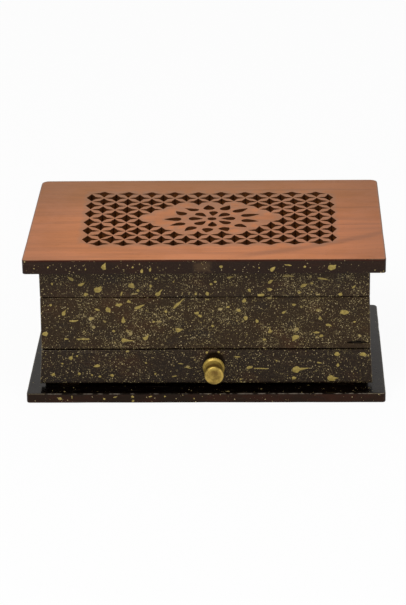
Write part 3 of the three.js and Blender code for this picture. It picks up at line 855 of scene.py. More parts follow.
fretShape = {
    "columns": 21, "rows": 13, "pitchX": 7.05, "pitchY": 6.79, "centreX": 2.5, "centreY": 0.3,
    "webX": 0.55, "webY": 1.2, "bulge": 2.1, "bulgeWidth": 2.0, "belly": 2.2,
    "leftReach": 3.1, "rightReach": 2.8,
    # where the lozenge in the middle of a hole meets the slit beside it
    "notchX": 2.5, "notchY": 1.65, "shortest": 4.0,
    "fieldReach": 5, "fieldRows": 3, "frontDrift": 2.3, "rightDrift": 2.0, "backDrift": 1.1,
    # row that stands furthest right, reach and amount; then row, width and amount of each uneven gap
    "bow": (4.8, 7.2, 1.4), "unevenRows": [(7.4, 1.8, 0.9), (10.7, 1.0, -0.7)],
    # how far each hole strays from its place, and how far the left columns are set out and back
    "strayX": 0.5, "strayY": 0.32, "leftColumns": 3, "leftOut": 0.85, "leftBack": 0.9,
    "shrink": 0.012, "skew": 0.12, "sideSteps": 8, "seed": 31,
    # single holes that are clearly out of line: column and row, then how far in x and y
    "outOfLine": {
        (1, 0): (-1.0, 0), (3, 0): (-0.8, 0), (2, 1): (-0.9, 0), (1, 2): (1.6, 0), (3, 2): (0.7, 0),
        (0, 3): (0.4, 0), (2, 3): (0.4, 0), (3, 4): (1.1, 0), (2, 5): (0.6, 0), (4, 5): (0.5, 0),
        (4, 7): (-0.7, 0), (1, 8): (-0.6, 0), (3, 8): (-0.5, 0), (1, 10): (0, 0.9), (3, 10): (0, -0.5),
    },
}
rosetteShape = {
    "x": 3.2, "y": -0.7, "eyeWidth": 5.4, "eyeHeight": 5.0, "eyeSteps": 18, "seed": 12,
    "petalWidth": 5.6, "widest": 0.7, "slender": 0.85, "sideSteps": 6,
    "innerTip": 4.7, "innerEnd": 12.7, "innerStretch": 1.07,
    "innerAngles": [2, 43, 86, 134, 178, 226, 273, 322],
    "outerStart": 15.0, "outerStretch": 1.17,
    "outerAngles": [15, 40, 66, 97, 126, 155, 181, 204, 232, 263, 295, 326, 351],
    "outerTips": [25.2, 25, 23.8, 23, 22.8, 22.6, 24.2, 23.4, 23.6, 22.3, 21.8, 22.6, 24],
    "curls": {126: 7, 155: -7},
}


def curveSide(start, control, end, steps):
    points = []
    for k in range(steps):
        t = k / steps
        points.append(tuple((1 - t) ** 2 * start[i] + 2 * t * (1 - t) * control[i] + t * t * end[i]
                            for i in range(2)))
    return points


def strayHoles(shape):
    chance = random.Random(shape["seed"])
    return {(column, row): (chance.uniform(-1, 1) * shape["strayX"], chance.uniform(-1, 1) * shape["strayY"])
            for row in range(shape["rows"]) for column in range(shape["columns"])}


holeStrays = strayHoles(fretShape)


def holeCentre(shape, column, row):
    middleColumn = (shape["columns"] - 1) / 2
    middleRow = (shape["rows"] - 1) / 2
    right = column / (shape["columns"] - 1)
    ahead = max(0, (middleRow - row) / middleRow)
    behind = max(0, (row - middleRow) / middleRow)
    belowBack = min(1, (shape["rows"] - 1 - row) / middleRow)
    leftness = min(1.0, max(0.0, 1 - column / shape["leftColumns"])) ** 2
    bowRow, bowReach, bow = shape["bow"]
    x = shape["centreX"] + (column - middleColumn) * shape["pitchX"] - shape["leftOut"] * leftness
    x += shape["frontDrift"] * ahead ** 2 * (1 - right) - bow * ((row - bowRow) / bowReach) ** 2
    y = shape["centreY"] + (row - middleRow) * shape["pitchY"] + shape["leftBack"] * leftness
    y += shape["rightDrift"] * right ** 2 * belowBack + shape["backDrift"] * (behind * (1 - right)) ** 2
    y += sum(amount * math.exp(-((row - at) / width) ** 2) for at, width, amount in shape["unevenRows"])
    ownStray = shape["outOfLine"].get((column, row), (0, 0))
    for strayX, strayY in (holeStrays.get((column, row), (0, 0)), ownStray):
        x += strayX
        y += strayY
    return x, y


def holeTip(shape, column, row, stepX, stepY):
    # the four holes round a crossing point at its middle
    x, y = holeCentre(shape, column, row)
    others = [holeCentre(shape, column + 2 * stepX, row + 2 * stepY),
              holeCentre(shape, column + stepX + stepY, row + stepY + stepX),
              holeCentre(shape, column + stepX - stepY, row + stepY - stepX)]
    halfX = (x + sum(other[0] for other in others)) / 4 - x
    halfY = (y + sum(other[1] for other in others)) / 4 - y
    web = shape["webX"] if stepY == 0 else shape["webY"]
    if column == 0 and stepX == -1:
        web = 2 * (shape["pitchX"] - shape["leftReach"])
    elif column == shape["columns"] - 1 and stepX == 1:
        web = 2 * (shape["pitchX"] - shape["rightReach"])
    share = 1 - web / 2 / math.hypot(halfX, halfY)
    return halfX * share, halfY * share


def starSide(shape, start, end, chance):
    level, upright = (start, end) if abs(start[0]) > abs(start[1]) else (end, start)
    if abs(level[0]) < shape["shortest"]:
        path = curveSide(level, ((level[0] + upright[0]) * 0.47, (level[1] + upright[1]) * 0.47), upright, 9)
    else:
        notch = (math.copysign(shape["notchX"] * chance.uniform(0.88, 1.1), level[0]),
                 level[1] * 0.4 + math.copysign(shape["notchY"] * chance.uniform(0.75, 1.2), upright[1]))
        pull = (level[0] * 0.4 + notch[0] * 0.6, level[1] * 0.35 + notch[1] * 0.72)
        path = curveSide(level, pull, notch, 4)
        path += curveSide(notch, ((notch[0] + upright[0]) * 0.44, (notch[1] + upright[1]) * 0.47), upright, 5)
    path.append(upright)
    return path[:-1] if level is start else path[:0:-1]


def bulgeSide(shape, start, end, side):
    path = []
    steps = shape["sideSteps"] * 2
    for k in range(steps):
        share = k / steps
        arch = share * (1 - share)
        x = start[0] + (end[0] - start[0]) * share
        y = start[1] + (end[1] - start[1]) * share
        depth = math.exp(-(x / shape["bulgeWidth"]) ** 2) + shape["belly"] * arch
        path.append((x, y + side * shape["bulge"] * depth * min(1, 8 * arch)))
    return path


def cutHole(shape, column, row, chance):
    x, y = holeCentre(shape, column, row)
    corners = []
    for stepX, stepY in ((1, 0), (0, 1), (-1, 0), (0, -1)):
        tipX, tipY = holeTip(shape, column, row, stepX, stepY)
        share = 1 - chance.random() * shape["shrink"]
        skew = chance.uniform(-1, 1) * shape["skew"]
        corners.append((tipX * share - stepY * skew, tipY * share + stepX * skew))
    outward = 0
    if row == 0:
        corners.pop(3)
        outward = -1
    elif row == shape["rows"] - 1:
        corners.pop(1)
        outward = 1
    outline = []
    for k, start in enumerate(corners):
        end = corners[(k + 1) % len(corners)]
        if outward and abs(start[1]) < 1 and abs(end[1]) < 1:
            outline += bulgeSide(shape, start, end, outward)
        else:
            outline += starSide(shape, start, end, chance)
    return [(x + px, y + py) for px, py in outline]


def cutLattice(shape):
    chance = random.Random(shape["seed"])
    holes = []
    for row in range(shape["rows"]):
        for column in range(shape["columns"]):
            across = abs(column - (shape["columns"] - 1) / 2)
            along = abs(row - (shape["rows"] - 1) / 2)
            inField = across + along <= shape["fieldReach"] and along <= shape["fieldRows"]
            if (row + column) % 2 == 1 and not inField:
                holes.append(cutHole(shape, column, row, chance))
    return holes


def cutPetal(shape, pointRadius, roundRadius, degrees, stretch, chance):
    seen = math.radians(degrees)
    angle = math.atan2(math.sin(seen), math.cos(seen) / stretch)
    curl = math.radians(shape["curls"].get(degrees, 0))
    steps = shape["sideSteps"]
    length = roundRadius - pointRadius
    half = shape["petalWidth"] / 2 * chance.uniform(0.88, 1.08)
    end = roundRadius + chance.uniform(-0.25, 0.25)
    widest = pointRadius + length * shape["widest"]
    control = (pointRadius + length * 0.4, half * shape["slender"])
    side = curveSide((pointRadius, 0), control, (widest, half), steps)
    for k in range(steps):
        quarter = math.pi / 2 * k / steps
        side.append((widest + (end - widest) * math.sin(quarter), half * math.cos(quarter)))
    outline = []
    for x, y in side + [(end, 0)] + [(x, -y) for x, y in side[:0:-1]]:
        turn = angle + curl * ((x - roundRadius) / length) ** 2
        turnedX = x * math.cos(turn) - y * math.sin(turn)
        turnedY = x * math.sin(turn) + y * math.cos(turn)
        outline.append((shape["x"] + turnedX * stretch, shape["y"] + turnedY))
    return outline


def cutRosette(shape):
    chance = random.Random(shape["seed"])
    turns = [k / shape["eyeSteps"] * math.tau for k in range(shape["eyeSteps"])]
    holes = [[(shape["x"] + math.cos(turn) * shape["eyeWidth"] / 2,
               shape["y"] + math.sin(turn) * shape["eyeHeight"] / 2) for turn in turns]]
    for degrees in shape["innerAngles"]:
        holes.append(cutPetal(shape, shape["innerTip"], shape["innerEnd"], degrees,
                              shape["innerStretch"], chance))
    for degrees, tip in zip(shape["outerAngles"], shape["outerTips"]):
        holes.append(cutPetal(shape, tip, shape["outerStart"], degrees, shape["outerStretch"], chance))
    return holes


lidShape = {"arris": 0.4, "support": 1.5, "corners": (4.2, 1.9), "ease": 0.08, "fill": 7.0, "wobble": 0.06,
            "wear": 0.35, "edgeIndex": 2}
baseShape = {"arris": 0.5, "support": 1.5, "corners": (3.0, 2.0), "fill": 9.0, "wobble": 0.05, "wear": 0.45,
             "edgeIndex": 0}
fretHoles = cutLattice(fretShape) + cutRosette(rosetteShape)
makeSlab("fretted_lid_board", "lid_board", "lid", "stained_wood", lidShape, slabMaking,
         [lidTopWood, cutWood, paints["lidEdgePaint"]], fretHoles)
makeSlab("painted_base", "base_board", "box", "painted_wood", baseShape, slabMaking, [paints["basePaint"]])
print("lid board and base cut")


# Painted boards; a dent gives a board more cuts along some axes and moves its points

def crackDent(shape, frontY):
    x, z, half, height = (shape[key] * mm for key in ("x", "z", "half", "height"))

    def push(point):
        along = abs(point.x - x) / half
        if point.y > frontY + 1 * mm or along >= 1:
            return Vector((0, 0, 0))
        opening = height * (1 - along ** 2)
        rise = z + shape["curl"] * mm * math.cos(along * 2)
        share = max(0.0, 1 - abs(point.z - rise) / max(opening, 1e-5))
        return Vector((0, share ** 0.6 * shape["depth"] * mm, 0))

    cutsX = [x + half * k / 8 for k in range(-8, 9)]
    cutsZ = [z + height * k / 3 for k in range(-4, 6)]
    return {"cuts": {0: cutsX, 2: cutsZ}, "push": push}


lowerEdge = {"radius": 1.2, "steps": 5}


def roundedUnder(shape, low):
    radius = shape["radius"] * mm

    def push(point):
        rise = point.z - low.z
        if rise >= radius or point.y > low.y + radius:
            return Vector((0, 0, 0))
        back = radius - math.sqrt(max(0.0, radius ** 2 - (radius - rise) ** 2))
        return Vector((0, max(0.0, low.y + back - point.y), 0))

    steps = shape["steps"]
    return {"cuts": {2: [low.z + radius * k / steps for k in range(1, steps + 1)]}, "push": push}


# how far each end is set out at the board's bottom and at its top
drawerSpread = {"left": (0, -1.7), "right": (0, -1.2)}
frontSpread = {"left": (0.5, 0), "right": (0.9, 0)}


def spreadEnds(shape, low, high):
    middle, half = (low.x + high.x) / 2, (high.x - low.x) / 2

    def push(point):
        across = (point.x - middle) / half
        below, above = shape["right"] if across > 0 else shape["left"]
        rise = (point.z - low.z) / (high.z - low.z)
        return Vector((across * (below + (above - below) * rise) * mm, 0, 0))

    return {"cuts": {}, "push": push}


wallLow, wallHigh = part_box("front_board")
faceLow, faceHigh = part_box("drawer_front")
paintedBoards = [
    ("left_wall", "left_side", "box", "boardPaint", []),
    ("right_wall", "right_side", "box", "boardPaint", []),
    ("back_wall", "back_board", "box", "boardPaint", []),
    ("lid_front_strip", "lid_front_rail", "lid", "railPaint", []),
    ("lid_back_strip", "lid_back_rail", "lid", "railPaint", []),
    ("lid_left_strip", "lid_left_rail", "lid", "railPaint", []),
    ("lid_right_strip", "lid_right_rail", "lid", "railPaint", []),
    ("front_wall", "front_board", "box", "boardPaint",
     [crackDent(crack, wallLow.y), spreadEnds(frontSpread, wallLow, wallHigh)]),
    ("drawer_face", "drawer_front", "drawer", "drawerPaint",
     [roundedUnder(lowerEdge, faceLow), spreadEnds(drawerSpread, faceLow, faceHigh)]),
]
boards = {}
for name, node, body, paint, dents in paintedBoards:
    boards[name] = makeBoard(name, node, body, paints[paint], "painted_wood", boardShape, dents)

hingeScrewBore = {"radius": 1.0, "half": 7.5}
knobScrewBore = {"radius": 1.6, "half": 6.0}
for name, prefix in (("back_wall", "body_leaf_screw"), ("lid_back_strip", "lid_leaf_screw")):
    screws = [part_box(f"{prefix}_{number}") for number in range(1, 5)]
    drill(boards[name], [(low + high) / 2 for low, high in screws], hingeScrewBore)
screwLow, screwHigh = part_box("knob_screw")
knobHole = (screwLow + screwHigh) / 2
knobHole.y = (faceLow.y + faceHigh.y) / 2
drill(boards["drawer_face"], [knobHole], knobScrewBore)
print("painted boards made")


# Gold drops that stand proud of the paint, each a low dome with a ragged rim

# ripples of the rim: times round, which phase, height
dropLook = {"rise": 0.13, "segments": 26, "ragged": 0.18, "spread": 1.0036, "tilt": -0.0022, "margin": 0.45,
            "tailWidth": 0.3, "ripples": [(2, 0, 0.5), (3, 1, 0.35), (5, 2, 0.3), (9, 0, 0.1)]}
# x, z, width, height, turn in degrees, tail length, tail direction in degrees; millimetres, and zeros at
# the end are left out
lidEdgeDrops = [
    (-55.8, 83.6, 2.9, 3.0, 0, 1.8, 68), (-34.6, 81.2, 1.7, 2.2, 0, 0.5, 80), (-39.6, 83.6, 1.2, 1.2),
    (-29.9, 82.1, 1.3, 2.1, -20, 0.5, 70), (71.3, 83.3, 4.4, 3.2, 18, 1.2, 35),
    (38.4, 82.3, 3.6, 2, 42, 0.6, 45), (9.8, 83.9, 1.9, 1.7), (47.1, 84.8, 4, 0.9, -8),
    (31, 83.2, 0.9, 0.9), (-66, 82.4, 0.8, 1.1), (-87, 83.6, 1, 1), (56.4, 83.8, 1.6, 1.2),
]
lidRailDrops = [
    (-75.1, 73.3, 3.1, 1.8, -40, 1, 140), (-69.6, 69.9, 3.4, 1.8, 12, 0.8, 35),
    (-60.2, 66.6, 4.4, 3.4, 20, 1.7, 55), (-67.1, 63.9, 2.4, 2),
    (-41.2, 69.3, 3.5, 2.8, -25, 0.8, -40), (-26.3, 64.1, 3.2, 2.4, 40, 2.8, 50),
    (-37.5, 66.2, 1.6, 1.6), (-46.9, 64.3, 0.9, 2.9, -14), (1.6, 64.2, 2.3, 2.1), (-4.9, 64.1, 1.5, 1.4),
    (-30.3, 68.9, 1.3, 2.2, 10), (-27.3, 73.5, 1.7, 1.1), (14.2, 74.2, 3, 1.1, 8, 1.6, 8),
    (3.8, 70.1, 1.7, 1.6), (6.1, 71.5, 1.6, 1.5), (37.1, 71.5, 3, 1.7, 30, 0.7, 35),
    (66.4, 73.3, 6, 1.1, -12), (55.7, 69.1, 3.6, 2, 15, 1, 30), (60.4, 70.5, 1.8, 1.2, 20),
    (36.7, 66.8, 2.6, 1.9, -30),
    (25.3, 66.4, 2, 1.7, 0, 0.6, -60), (31.9, 63.2, 3.6, 2.2, 0, 0.5, 160),
    (76.5, 63.7, 2.2, 1.8, 0, 0.8, 60),
    (84, 68.3, 2.6, 1, 38), (53.4, 65, 1.9, 1.4), (-86, 70.4, 1.2, 1.6), (-17.4, 71.5, 1, 1),
]
frontBoardDrops = [
    (-37.4, 56, 5.4, 1.7, 22, 1.6, 26), (-15.6, 57.4, 7, 1.5, 46, 3.6, 46),
    (-48.6, 57.4, 3.9, 1.8, 12, 0.6, 20), (-54.8, 54.5, 3.2, 2.6, -20, 0.9, -60),
    (-46.3, 47.5, 2.5, 2.6, 0, 1.6, 88), (-15.3, 41.9, 3.4, 2.5, 0, 1.7, 10),
    (-46.2, 35.5, 3.6, 2.5, 0, 5.2, -3), (-69.4, 36.3, 9, 0.9), (-34, 36.8, 2.8, 2.2, 0, 2.3, 55),
    (-74.9, 47.5, 4.6, 1.2, 3, 1.2, 20), (-80.1, 52.1, 2.6, 2.2, 50, 2.2, 60), (-79.2, 36.4, 2.8, 0.8),
    (-4.6, 52.2, 2.4, 1.6, 0, 0.8, 60), (-2.9, 50.6, 2.2, 1.5, -30, 0.5, 10),
    (-91, 39.6, 3.4, 2.4, 0, 0.6, 200), (-42.8, 59.3, 2.4, 1.4, 0, 1, 100),
    (-60.9, 54.5, 3.1, 1.3, -15), (-22, 53.3, 1.7, 1.5),
    (78.9, 52.8, 4.6, 3.1, 0, 0.4, 200), (51.3, 37.4, 3.9, 3.1, 15, 1.2, 240), (23.1, 49.3, 2.6, 2.5),
    (36.9, 41, 2.4, 1.8, 0, 1.5, 95), (19.4, 53.9, 2.1, 1.9, 0, 1, 185), (29.5, 47.3, 1.7, 2.2, 0, 0.4, 95),
    (22.3, 59.8, 2.4, 2.1, 0, 1, 80), (50.4, 57.4, 2.1, 1.6, 10), (44.6, 52.7, 2.3, 1.4, 20),
    (63.3, 40.3, 3.4, 1.2, 0, 0.9, 170), (65.9, 38.2, 2.4, 1.6), (69.8, 45, 3.2, 1.4, -8, 1, -30),
    (65.1, 49.2, 1.7, 1.8), (-64.8, 49, 1.2, 1.4), (13.2, 56.1, 1.9, 1.3), (-52, 41.3, 1.7, 1.4),
    (-29, 47.1, 1.6, 1.1, 25), (4.3, 44.4, 1.5, 1.5), (33.7, 36, 2, 1.3), (-87.2, 57.4, 1.4, 1.4),
    (84.7, 46.9, 1.8, 0.9, 15),
]
drawerDrops = [
    (-77.1, 24.4, 2.4, 2.1, 40, 1.2, 60), (-87.4, 14.1, 2.1, 2.0), (-62, 19.6, 3.3, 1.9, 0, 0.8, 200),
    (-72.5, 14.6, 1.6, 2), (-53.7, 13.5, 2.1, 1.9), (-60.7, 12.9, 1.5, 1.4), (-65.2, 13.7, 1.3, 1.2),
    (-73.4, 25.7, 1.3, 1.2), (-44.8, 28.6, 1.2, 1.2), (-28.9, 14.5, 1.3, 1.2), (-14.2, 20.9, 3.4, 0.5, -3),
    (-10.3, 18.4, 4.4, 0.5, -14), (75, 26.9, 3.1, 2.4, 0, 0.6, 180), (89.9, 26.7, 3.8, 2.3, 0, 0.7, 190),
    (51.6, 17.2, 4.6, 3.9, 0, 6.4, 8), (71.6, 11.8, 4.6, 3.6, 0, 2.6, 2), (50.4, 11.9, 2.7, 1.9),
    (25, 18.6, 3.1, 1.8, 0, 0.5, 20), (31.6, 17.9, 8.2, 0.7, -3), (18.1, 25.2, 4.1, 0.8),
    (64.9, 21.5, 3.4, 0.8, -10), (75.4, 20, 1.6, 2.1, -20), (0.8, 28, 1.7, 1.3), (7.6, 28.2, 1.7, 1.1),
    (-82, 21, 1.5, 0.9), (-34, 21.4, 1.2, 1), (-18, 13, 3, 0.7, 12), (40.5, 22.8, 1, 1), (20, 11.2, 1.4, 0.9),
]
baseDrops = [
    (-83.4, 2.6, 2.1, 1.8), (-41.8, 3.8, 1.7, 1.4), (-41.6, 1.2, 1.6, 1.5), (-58.1, 2.4, 1.4, 1.2),
    (-76.5, 3.5, 0.6, 2.2), (-51.7, 3.6, 2.2, 0.8, 20), (-23.3, 4, 1, 1), (-6.6, 2.6, 0.9, 0.9),
    (-31.6, 3.9, 2.2, 0.7, 10),
]


def addDrop(bm, drop, look, chance, toWorld, lowZ, highZ):
    x, z, width, height, turn, tail, tailTurn = (*drop, 0, 0, 0)[:7]
    slant = math.radians(turn)
    tailAngle = math.radians(tailTurn)
    phases = [chance.uniform(0, math.tau) for k in range(3)]
    rise = look["rise"] * min(1.0, 0.45 + 0.2 * min(width, height))
    count = look["segments"]
    rim = []
    for k in range(count):
        angle = k / count * math.tau + tailAngle
        px = math.cos(angle - slant) * width / 2
        py = math.sin(angle - slant) * height / 2
        ripple = sum(size * math.sin(waves * angle + phases[phase]) for waves, phase, size in look["ripples"])
        ragged = 1 + look["ragged"] * ripple
        offX = (px * math.cos(slant) - py * math.sin(slant)) * ragged
        offZ = (px * math.sin(slant) + py * math.cos(slant)) * ragged
        turned = min(k, count - k) / count * math.tau
        reach = tail * math.exp(-(turned / look["tailWidth"]) ** 2)
        rim.append((offX + math.cos(tailAngle) * reach, offZ + math.sin(tailAngle) * reach))

    def addVert(offX, offZ, lift):
        return bm.verts.new(toWorld(x + offX, min(max(z + offZ, lowZ), highZ), lift))

    rings = [[addVert(offX * share, offZ * share, lift) for offX, offZ in rim]
             for share, lift in ((1.0, -0.03), (0.9, rise * 0.55), (0.6, rise * 0.9))]
    tip = addVert(0, 0, rise)
    for lower, upper in zip(rings, rings[1:]):
        joinRings(bm, lower, upper)
    for k in range(count):
        bm.faces.new((rings[-1][k], rings[-1][(k + 1) % count], tip))


def onFace(node, side):
    low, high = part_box(node)

    def toWorld(along, up, lift):
        if side == "front":
            return (along * mm, low.y - lift * mm, up * mm)
        if side == "back":
            return (along * mm, high.y + lift * mm, up * mm)
        if side == "left":
            return (low.x - lift * mm, along * mm, up * mm)
        return (high.x + lift * mm, along * mm, up * mm)
    return toWorld, low, high


scatter = {"perSide": 16, "smallest": 0.9, "largest": 3.2, "endMargin": 3, "edgeMargin": 1.5, "tailed": 0.35}


def scattered(chance, low, high, side, count):
    start, end = (low.x, high.x) if side == "back" else (low.y, high.y)
    endMargin, edgeMargin = scatter["endMargin"], scatter["edgeMargin"]
    drops = []
    for k in range(count):
        size = scatter["smallest"] + (scatter["largest"] - scatter["smallest"]) * chance.random() ** 2.4
        tail = size * chance.uniform(0.4, 1.6) if chance.random() < scatter["tailed"] else 0.0
        along = chance.uniform(start / mm + endMargin, end / mm - endMargin)
        up = chance.uniform(low.z / mm + edgeMargin, high.z / mm - edgeMargin)
        width = size * chance.uniform(0.9, 1.5)
        height = size * chance.uniform(0.6, 1.0)
        turn = chance.uniform(-30, 40)
        drops.append((along, up, width, height, turn, tail, chance.choice((0, 20, 60, 90, 180))))
    return drops


def makeDrops(name, body, groups, seed):
    chance = random.Random(seed)
    spread, tilt, margin = dropLook["spread"], dropLook["tilt"], dropLook["margin"]
    bm = bmesh.new()
    for node, side, drops in groups:
        toWorld, low, high = onFace(node, side)
        if isinstance(drops, int):
            drops = scattered(chance, low, high, side, drops)
        else:
            drops = [(x * spread, z * spread + x * tilt, *rest) for x, z, *rest in drops]
        for drop in drops:
            addDrop(bm, drop, dropLook, chance, toWorld, low.z / mm + margin, high.z / mm - margin)
    piece = finishPiece(name, bm, [goldDrop], creaseAngle=80)
    return settle(piece, body, "painted_wood")


perSide = scatter["perSide"]
makeDrops("lid_gold_drops", "lid", [
    ("lid_board", "front", lidEdgeDrops), ("lid_front_rail", "front", lidRailDrops),
    ("lid_board", "left", 5), ("lid_board", "right", 5), ("lid_board", "back", 8),
    ("lid_left_rail", "left", perSide), ("lid_right_rail", "right", perSide),
    ("lid_back_rail", "back", perSide),
], 5)
makeDrops("box_gold_drops", "box", [
    ("front_board", "front", frontBoardDrops), ("base_board", "front", baseDrops),
    ("left_side", "left", perSide * 2), ("right_side", "right", perSide * 2),
    ("back_board", "back", perSide * 3),
], 6)
makeDrops("drawer_gold_drops", "drawer", [("drawer_front", "front", drawerDrops)], 7)
print("gold drops laid on")


# Turned knob: radius and distance out from the drawer's face, in millimetres

knobShape = {
    "segments": 72,
    "profile": [
        (0, 0), (5.9, 0), (6.2, 0.1), (6.3, 0.35), (6.3, 0.7), (6.12, 1.0), (5.78, 1.4), (5.43, 1.8),
        (5.16, 2.15), (5.08, 2.4), (5.06, 3.2), (5.02, 4.2), (4.96, 5.1), (4.82, 5.6), (4.68, 6.1),
        (4.6, 6.8), (4.6, 8.4), (4.68, 8.9), (4.95, 9.3), (5.25, 9.6), (5.4, 10), (5.46, 10.5),
        (5.45, 11.0), (5.37, 11.35), (5.2, 11.58),
        (4.95, 11.74), (4.65, 11.87), (4.35, 11.95), (4.1, 11.96), (3.85, 11.9), (3.6, 11.76), (3.35, 11.62),
        (3.05, 11.56), (2.75, 11.6), (2.35, 11.72), (1.95, 11.84), (1.55, 11.93), (1.1, 11.97), (0.5, 11.99),
        (0, 11.99),
    ],
    # painted shade, each with its strength last: the neck's middle and half length, the head's band from and
    # to, the face from its distance out and within its radius, and the arc above the face's middle (a painted
    # dark reflection)
    "neck": (7.1, 2.5, 0.95), "band": (8.9, 11.0, 0.45), "face": (11.5, 4.3, 0.24), "arc": (1.2, 3.3, 0.4),
    # the knob stands a little askew
    "aside": -0.2, "lean": 0.045, "drop": 0.35, "bore": {"radius": 1.6, "half": 6.6},
}


def knobShading(shape, radius, out, angle):
    neck, neckHalf, onNeck = shape["neck"]
    bandStart, bandEnd, onBand = shape["band"]
    faceOut, faceRadius, onFront = shape["face"]
    arcStart, arcEnd, inArc = shape["arc"]
    knobShade = max(0.0, 1 - abs(out - neck) / neckHalf) ** 0.5 * onNeck
    if bandStart < out < bandEnd:
        knobShade = max(knobShade, onBand)
    # the arc in the face's upper half is a painted dark reflection; the rest of the face gets painted shade
    if out > faceOut and arcStart < radius < arcEnd:
        knobShade = max(knobShade, onFront + inArc * max(0.0, math.sin(angle)))
    elif out > faceOut and radius < faceRadius:
        knobShade = max(knobShade, onFront)
    return knobShade


def makeKnob(shape):
    low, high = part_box("knob")
    centreX, centreZ = (low.x + high.x) / 2, (low.z + high.z) / 2
    backY = high.y
    bm = bmesh.new()
    rings = []
    values = []
    for radius, out in shape["profile"]:
        shift = shape["aside"] + shape["lean"] * out
        ring = []
        for k in range(1 if radius == 0 else shape["segments"]):
            angle = k / shape["segments"] * math.tau
            ring.append(bm.verts.new((centreX + (shift + radius * math.cos(angle)) * mm, backY - out * mm,
                                      centreZ + (radius * math.sin(angle) - shape["drop"]) * mm)))
            values.append(knobShading(shape, radius, out, angle))
        rings.append(ring)
    for lower, upper in zip(rings, rings[1:]):
        for k in range(shape["segments"]):
            corners = (lower[k % len(lower)], lower[(k + 1) % len(lower)],
                       upper[(k + 1) % len(upper)], upper[k % len(upper)])
            bm.faces.new(list(dict.fromkeys(corners)))  # three corners beside a ring of one point
    piece = finishPiece("turned_knob", bm, [brasses["turnedBrass"]], creaseAngle=50,
                        edgeValues=("knobShade", values))
    drill(piece, [(centreX, backY, centreZ)], shape["bore"])
    return settle(piece, "drawer", "brass", "knob")


makeKnob(knobShape)
print("knob turned")


# Flocked cards in the tray, the drawer and the lid

cardShape = {**boardShape, "arris": 0.35, "support": 1.2, "step": 5.0, "wobble": 0.16, "wear": 0.3}
for name, node, body in (("tray_card", "tray_lining", "box"), ("drawer_card", "drawer_lining", "drawer"),
                         ("lid_card", "lid_lining", "lid")):
    makeBoard(name, node, body, flock, "velvet", cardShape)


# Frame pieces that keep their own shape: a finish and softened edges, whose width is in millimetres

keptPieces = [
    (innerWood, 0.35, ["tray_floor", "left_runner", "right_runner", "drawer_left_side", "drawer_right_side",
                       "drawer_back", "drawer_bottom"]),
    (brasses["plateBrass"], 0.14,
     [f"{side}_hinge_{part}" for side in ("left", "right") for part in ("body_leaf", "lid_leaf", "pin")]
     + [f"{side}_leaf_screw_{number}" for side in ("body", "lid") for number in range(1, 5)]),
    (screwSteel, 0.15, ["knob_screw"]),
]
for finish, width, names in keptPieces:
    for name in names:
        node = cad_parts[name]
        node.data.materials.clear()
        node.data.materials.append(finish)
        softened = node.modifiers.new("softened", "BEVEL")
        softened.width = width * mm
        softened.segments = 2
        softened.limit_method = "ANGLE"
        softened.angle_limit = math.radians(40)
        softened.harden_normals = True
print("cards laid and frame pieces finished")


# Floor, light and camera

floorLook = {"size": 4.0, "grey": 0.8, "cameraShare": 0.94}


def makeFloor(look):
    bm = bmesh.new()
    bmesh.ops.create_grid(bm, x_segments=2, y_segments=2, size=look["size"])
    finish = bpy.data.materials.new("paleFloor")
    finish.use_nodes = True
    tree = finish.node_tree
    tree.nodes.clear()
    plain = tree.nodes.new("ShaderNodeBsdfDiffuse")
    plain.inputs["Color"].default_value = (look["grey"], look["grey"], look["grey"], 1)
    white = tree.nodes.new("ShaderNodeEmission")
    white.inputs["Strength"].default_value = 1.0
    rays = tree.nodes.new("ShaderNodeLightPath").outputs
    mix = tree.nodes.new("ShaderNodeMixShader")
    output = tree.nodes.new("ShaderNodeOutputMaterial")
    feed(tree, mix.inputs[0], times(tree, rays["Is Camera Ray"], look["cameraShare"]))
    feed(tree, mix.inputs[1], plain.outputs[0])
    feed(tree, mix.inputs[2], white.outputs[0])
    feed(tree, output.inputs["Surface"], mix.outputs[0])
    addObject("floor", bm, [finish])


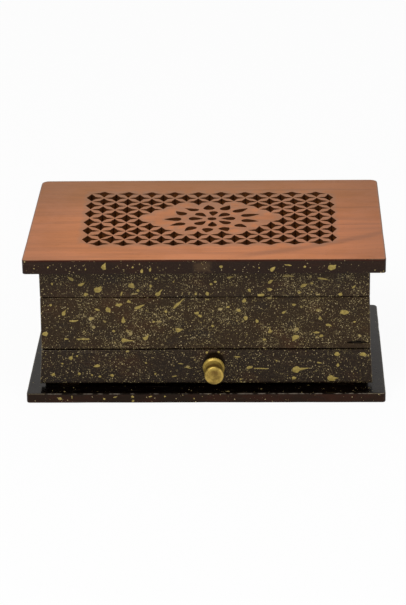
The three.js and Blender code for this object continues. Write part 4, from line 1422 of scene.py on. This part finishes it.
def makeWorld(ambient, behind, ahead, overhead):
    world = bpy.data.worlds.new("studio")
    world.use_nodes = True
    bpy.context.scene.world = world
    tree = world.node_tree
    backdrop = tree.nodes["Background"]
    rays = tree.nodes.new("ShaderNodeLightPath").outputs
    x, y, z = axes(tree, tree.nodes.new("ShaderNodeTexCoord").outputs["Generated"])
    room = larger(tree, remap(tree, y, -0.2, 0.5, ahead, behind), remap(tree, z, 0.45, 0.8, 0.0, overhead))
    level = plus(tree, times(tree, rays["Is Glossy Ray"], minus(tree, room, ambient)), ambient)
    feed(tree, backdrop.inputs["Strength"], larger(tree, level, rays["Is Camera Ray"]))
    backdrop.inputs["Color"].default_value = (1, 1, 1, 1)


def addLamp(name, place, aim, size, power):
    light = bpy.data.lights.new(name, "AREA")
    light.shape = "DISK"
    light.size = size
    light.energy = power
    lamp = bpy.data.objects.new(name, light)
    lamp.location = place
    lamp.rotation_euler = (Vector(aim) - Vector(place)).to_track_quat("-Z", "Y").to_euler()
    bpy.context.scene.collection.objects.link(lamp)


cameraSetup = {"place": (0.0409, -1.2764, 0.5752), "pitch": 22.928, "yaw": -1.964, "roll": -0.951,
               "lens": 139.08, "sensor": 36}


def addCamera(setup):
    pitch, yaw, roll = (math.radians(setup[key]) for key in ("pitch", "yaw", "roll"))
    ahead = Vector((math.sin(yaw) * math.cos(pitch), math.cos(yaw) * math.cos(pitch), -math.sin(pitch)))
    level = Vector((math.cos(yaw), -math.sin(yaw), 0))
    upward = level.cross(ahead)
    right = level * math.cos(roll) + upward * math.sin(roll)
    top = upward * math.cos(roll) - level * math.sin(roll)
    turn = Matrix((right, top, -ahead)).transposed().to_4x4()
    lens = bpy.data.cameras.new("photoView")
    lens.lens = setup["lens"]
    lens.sensor_width = setup["sensor"]
    lens.clip_start = 0.05
    camera = bpy.data.objects.new("photoView", lens)
    camera.matrix_world = Matrix.Translation(setup["place"]) @ turn
    bpy.context.scene.collection.objects.link(camera)
    bpy.context.scene.camera = camera


makeFloor(floorLook)
makeWorld(ambient=0.5, behind=0.6, ahead=0.22, overhead=0.95)
addLamp("keyLamp", (-0.6, -0.9, 1.4), (0, 0, 0.05), 1.2, 16)
addLamp("fillLamp", (0.9, -1.1, 0.7), (0, 0, 0.05), 1.0, 6)
addCamera(cameraSetup)
bpy.context.scene.view_settings.view_transform = "Standard"
print("stage set")
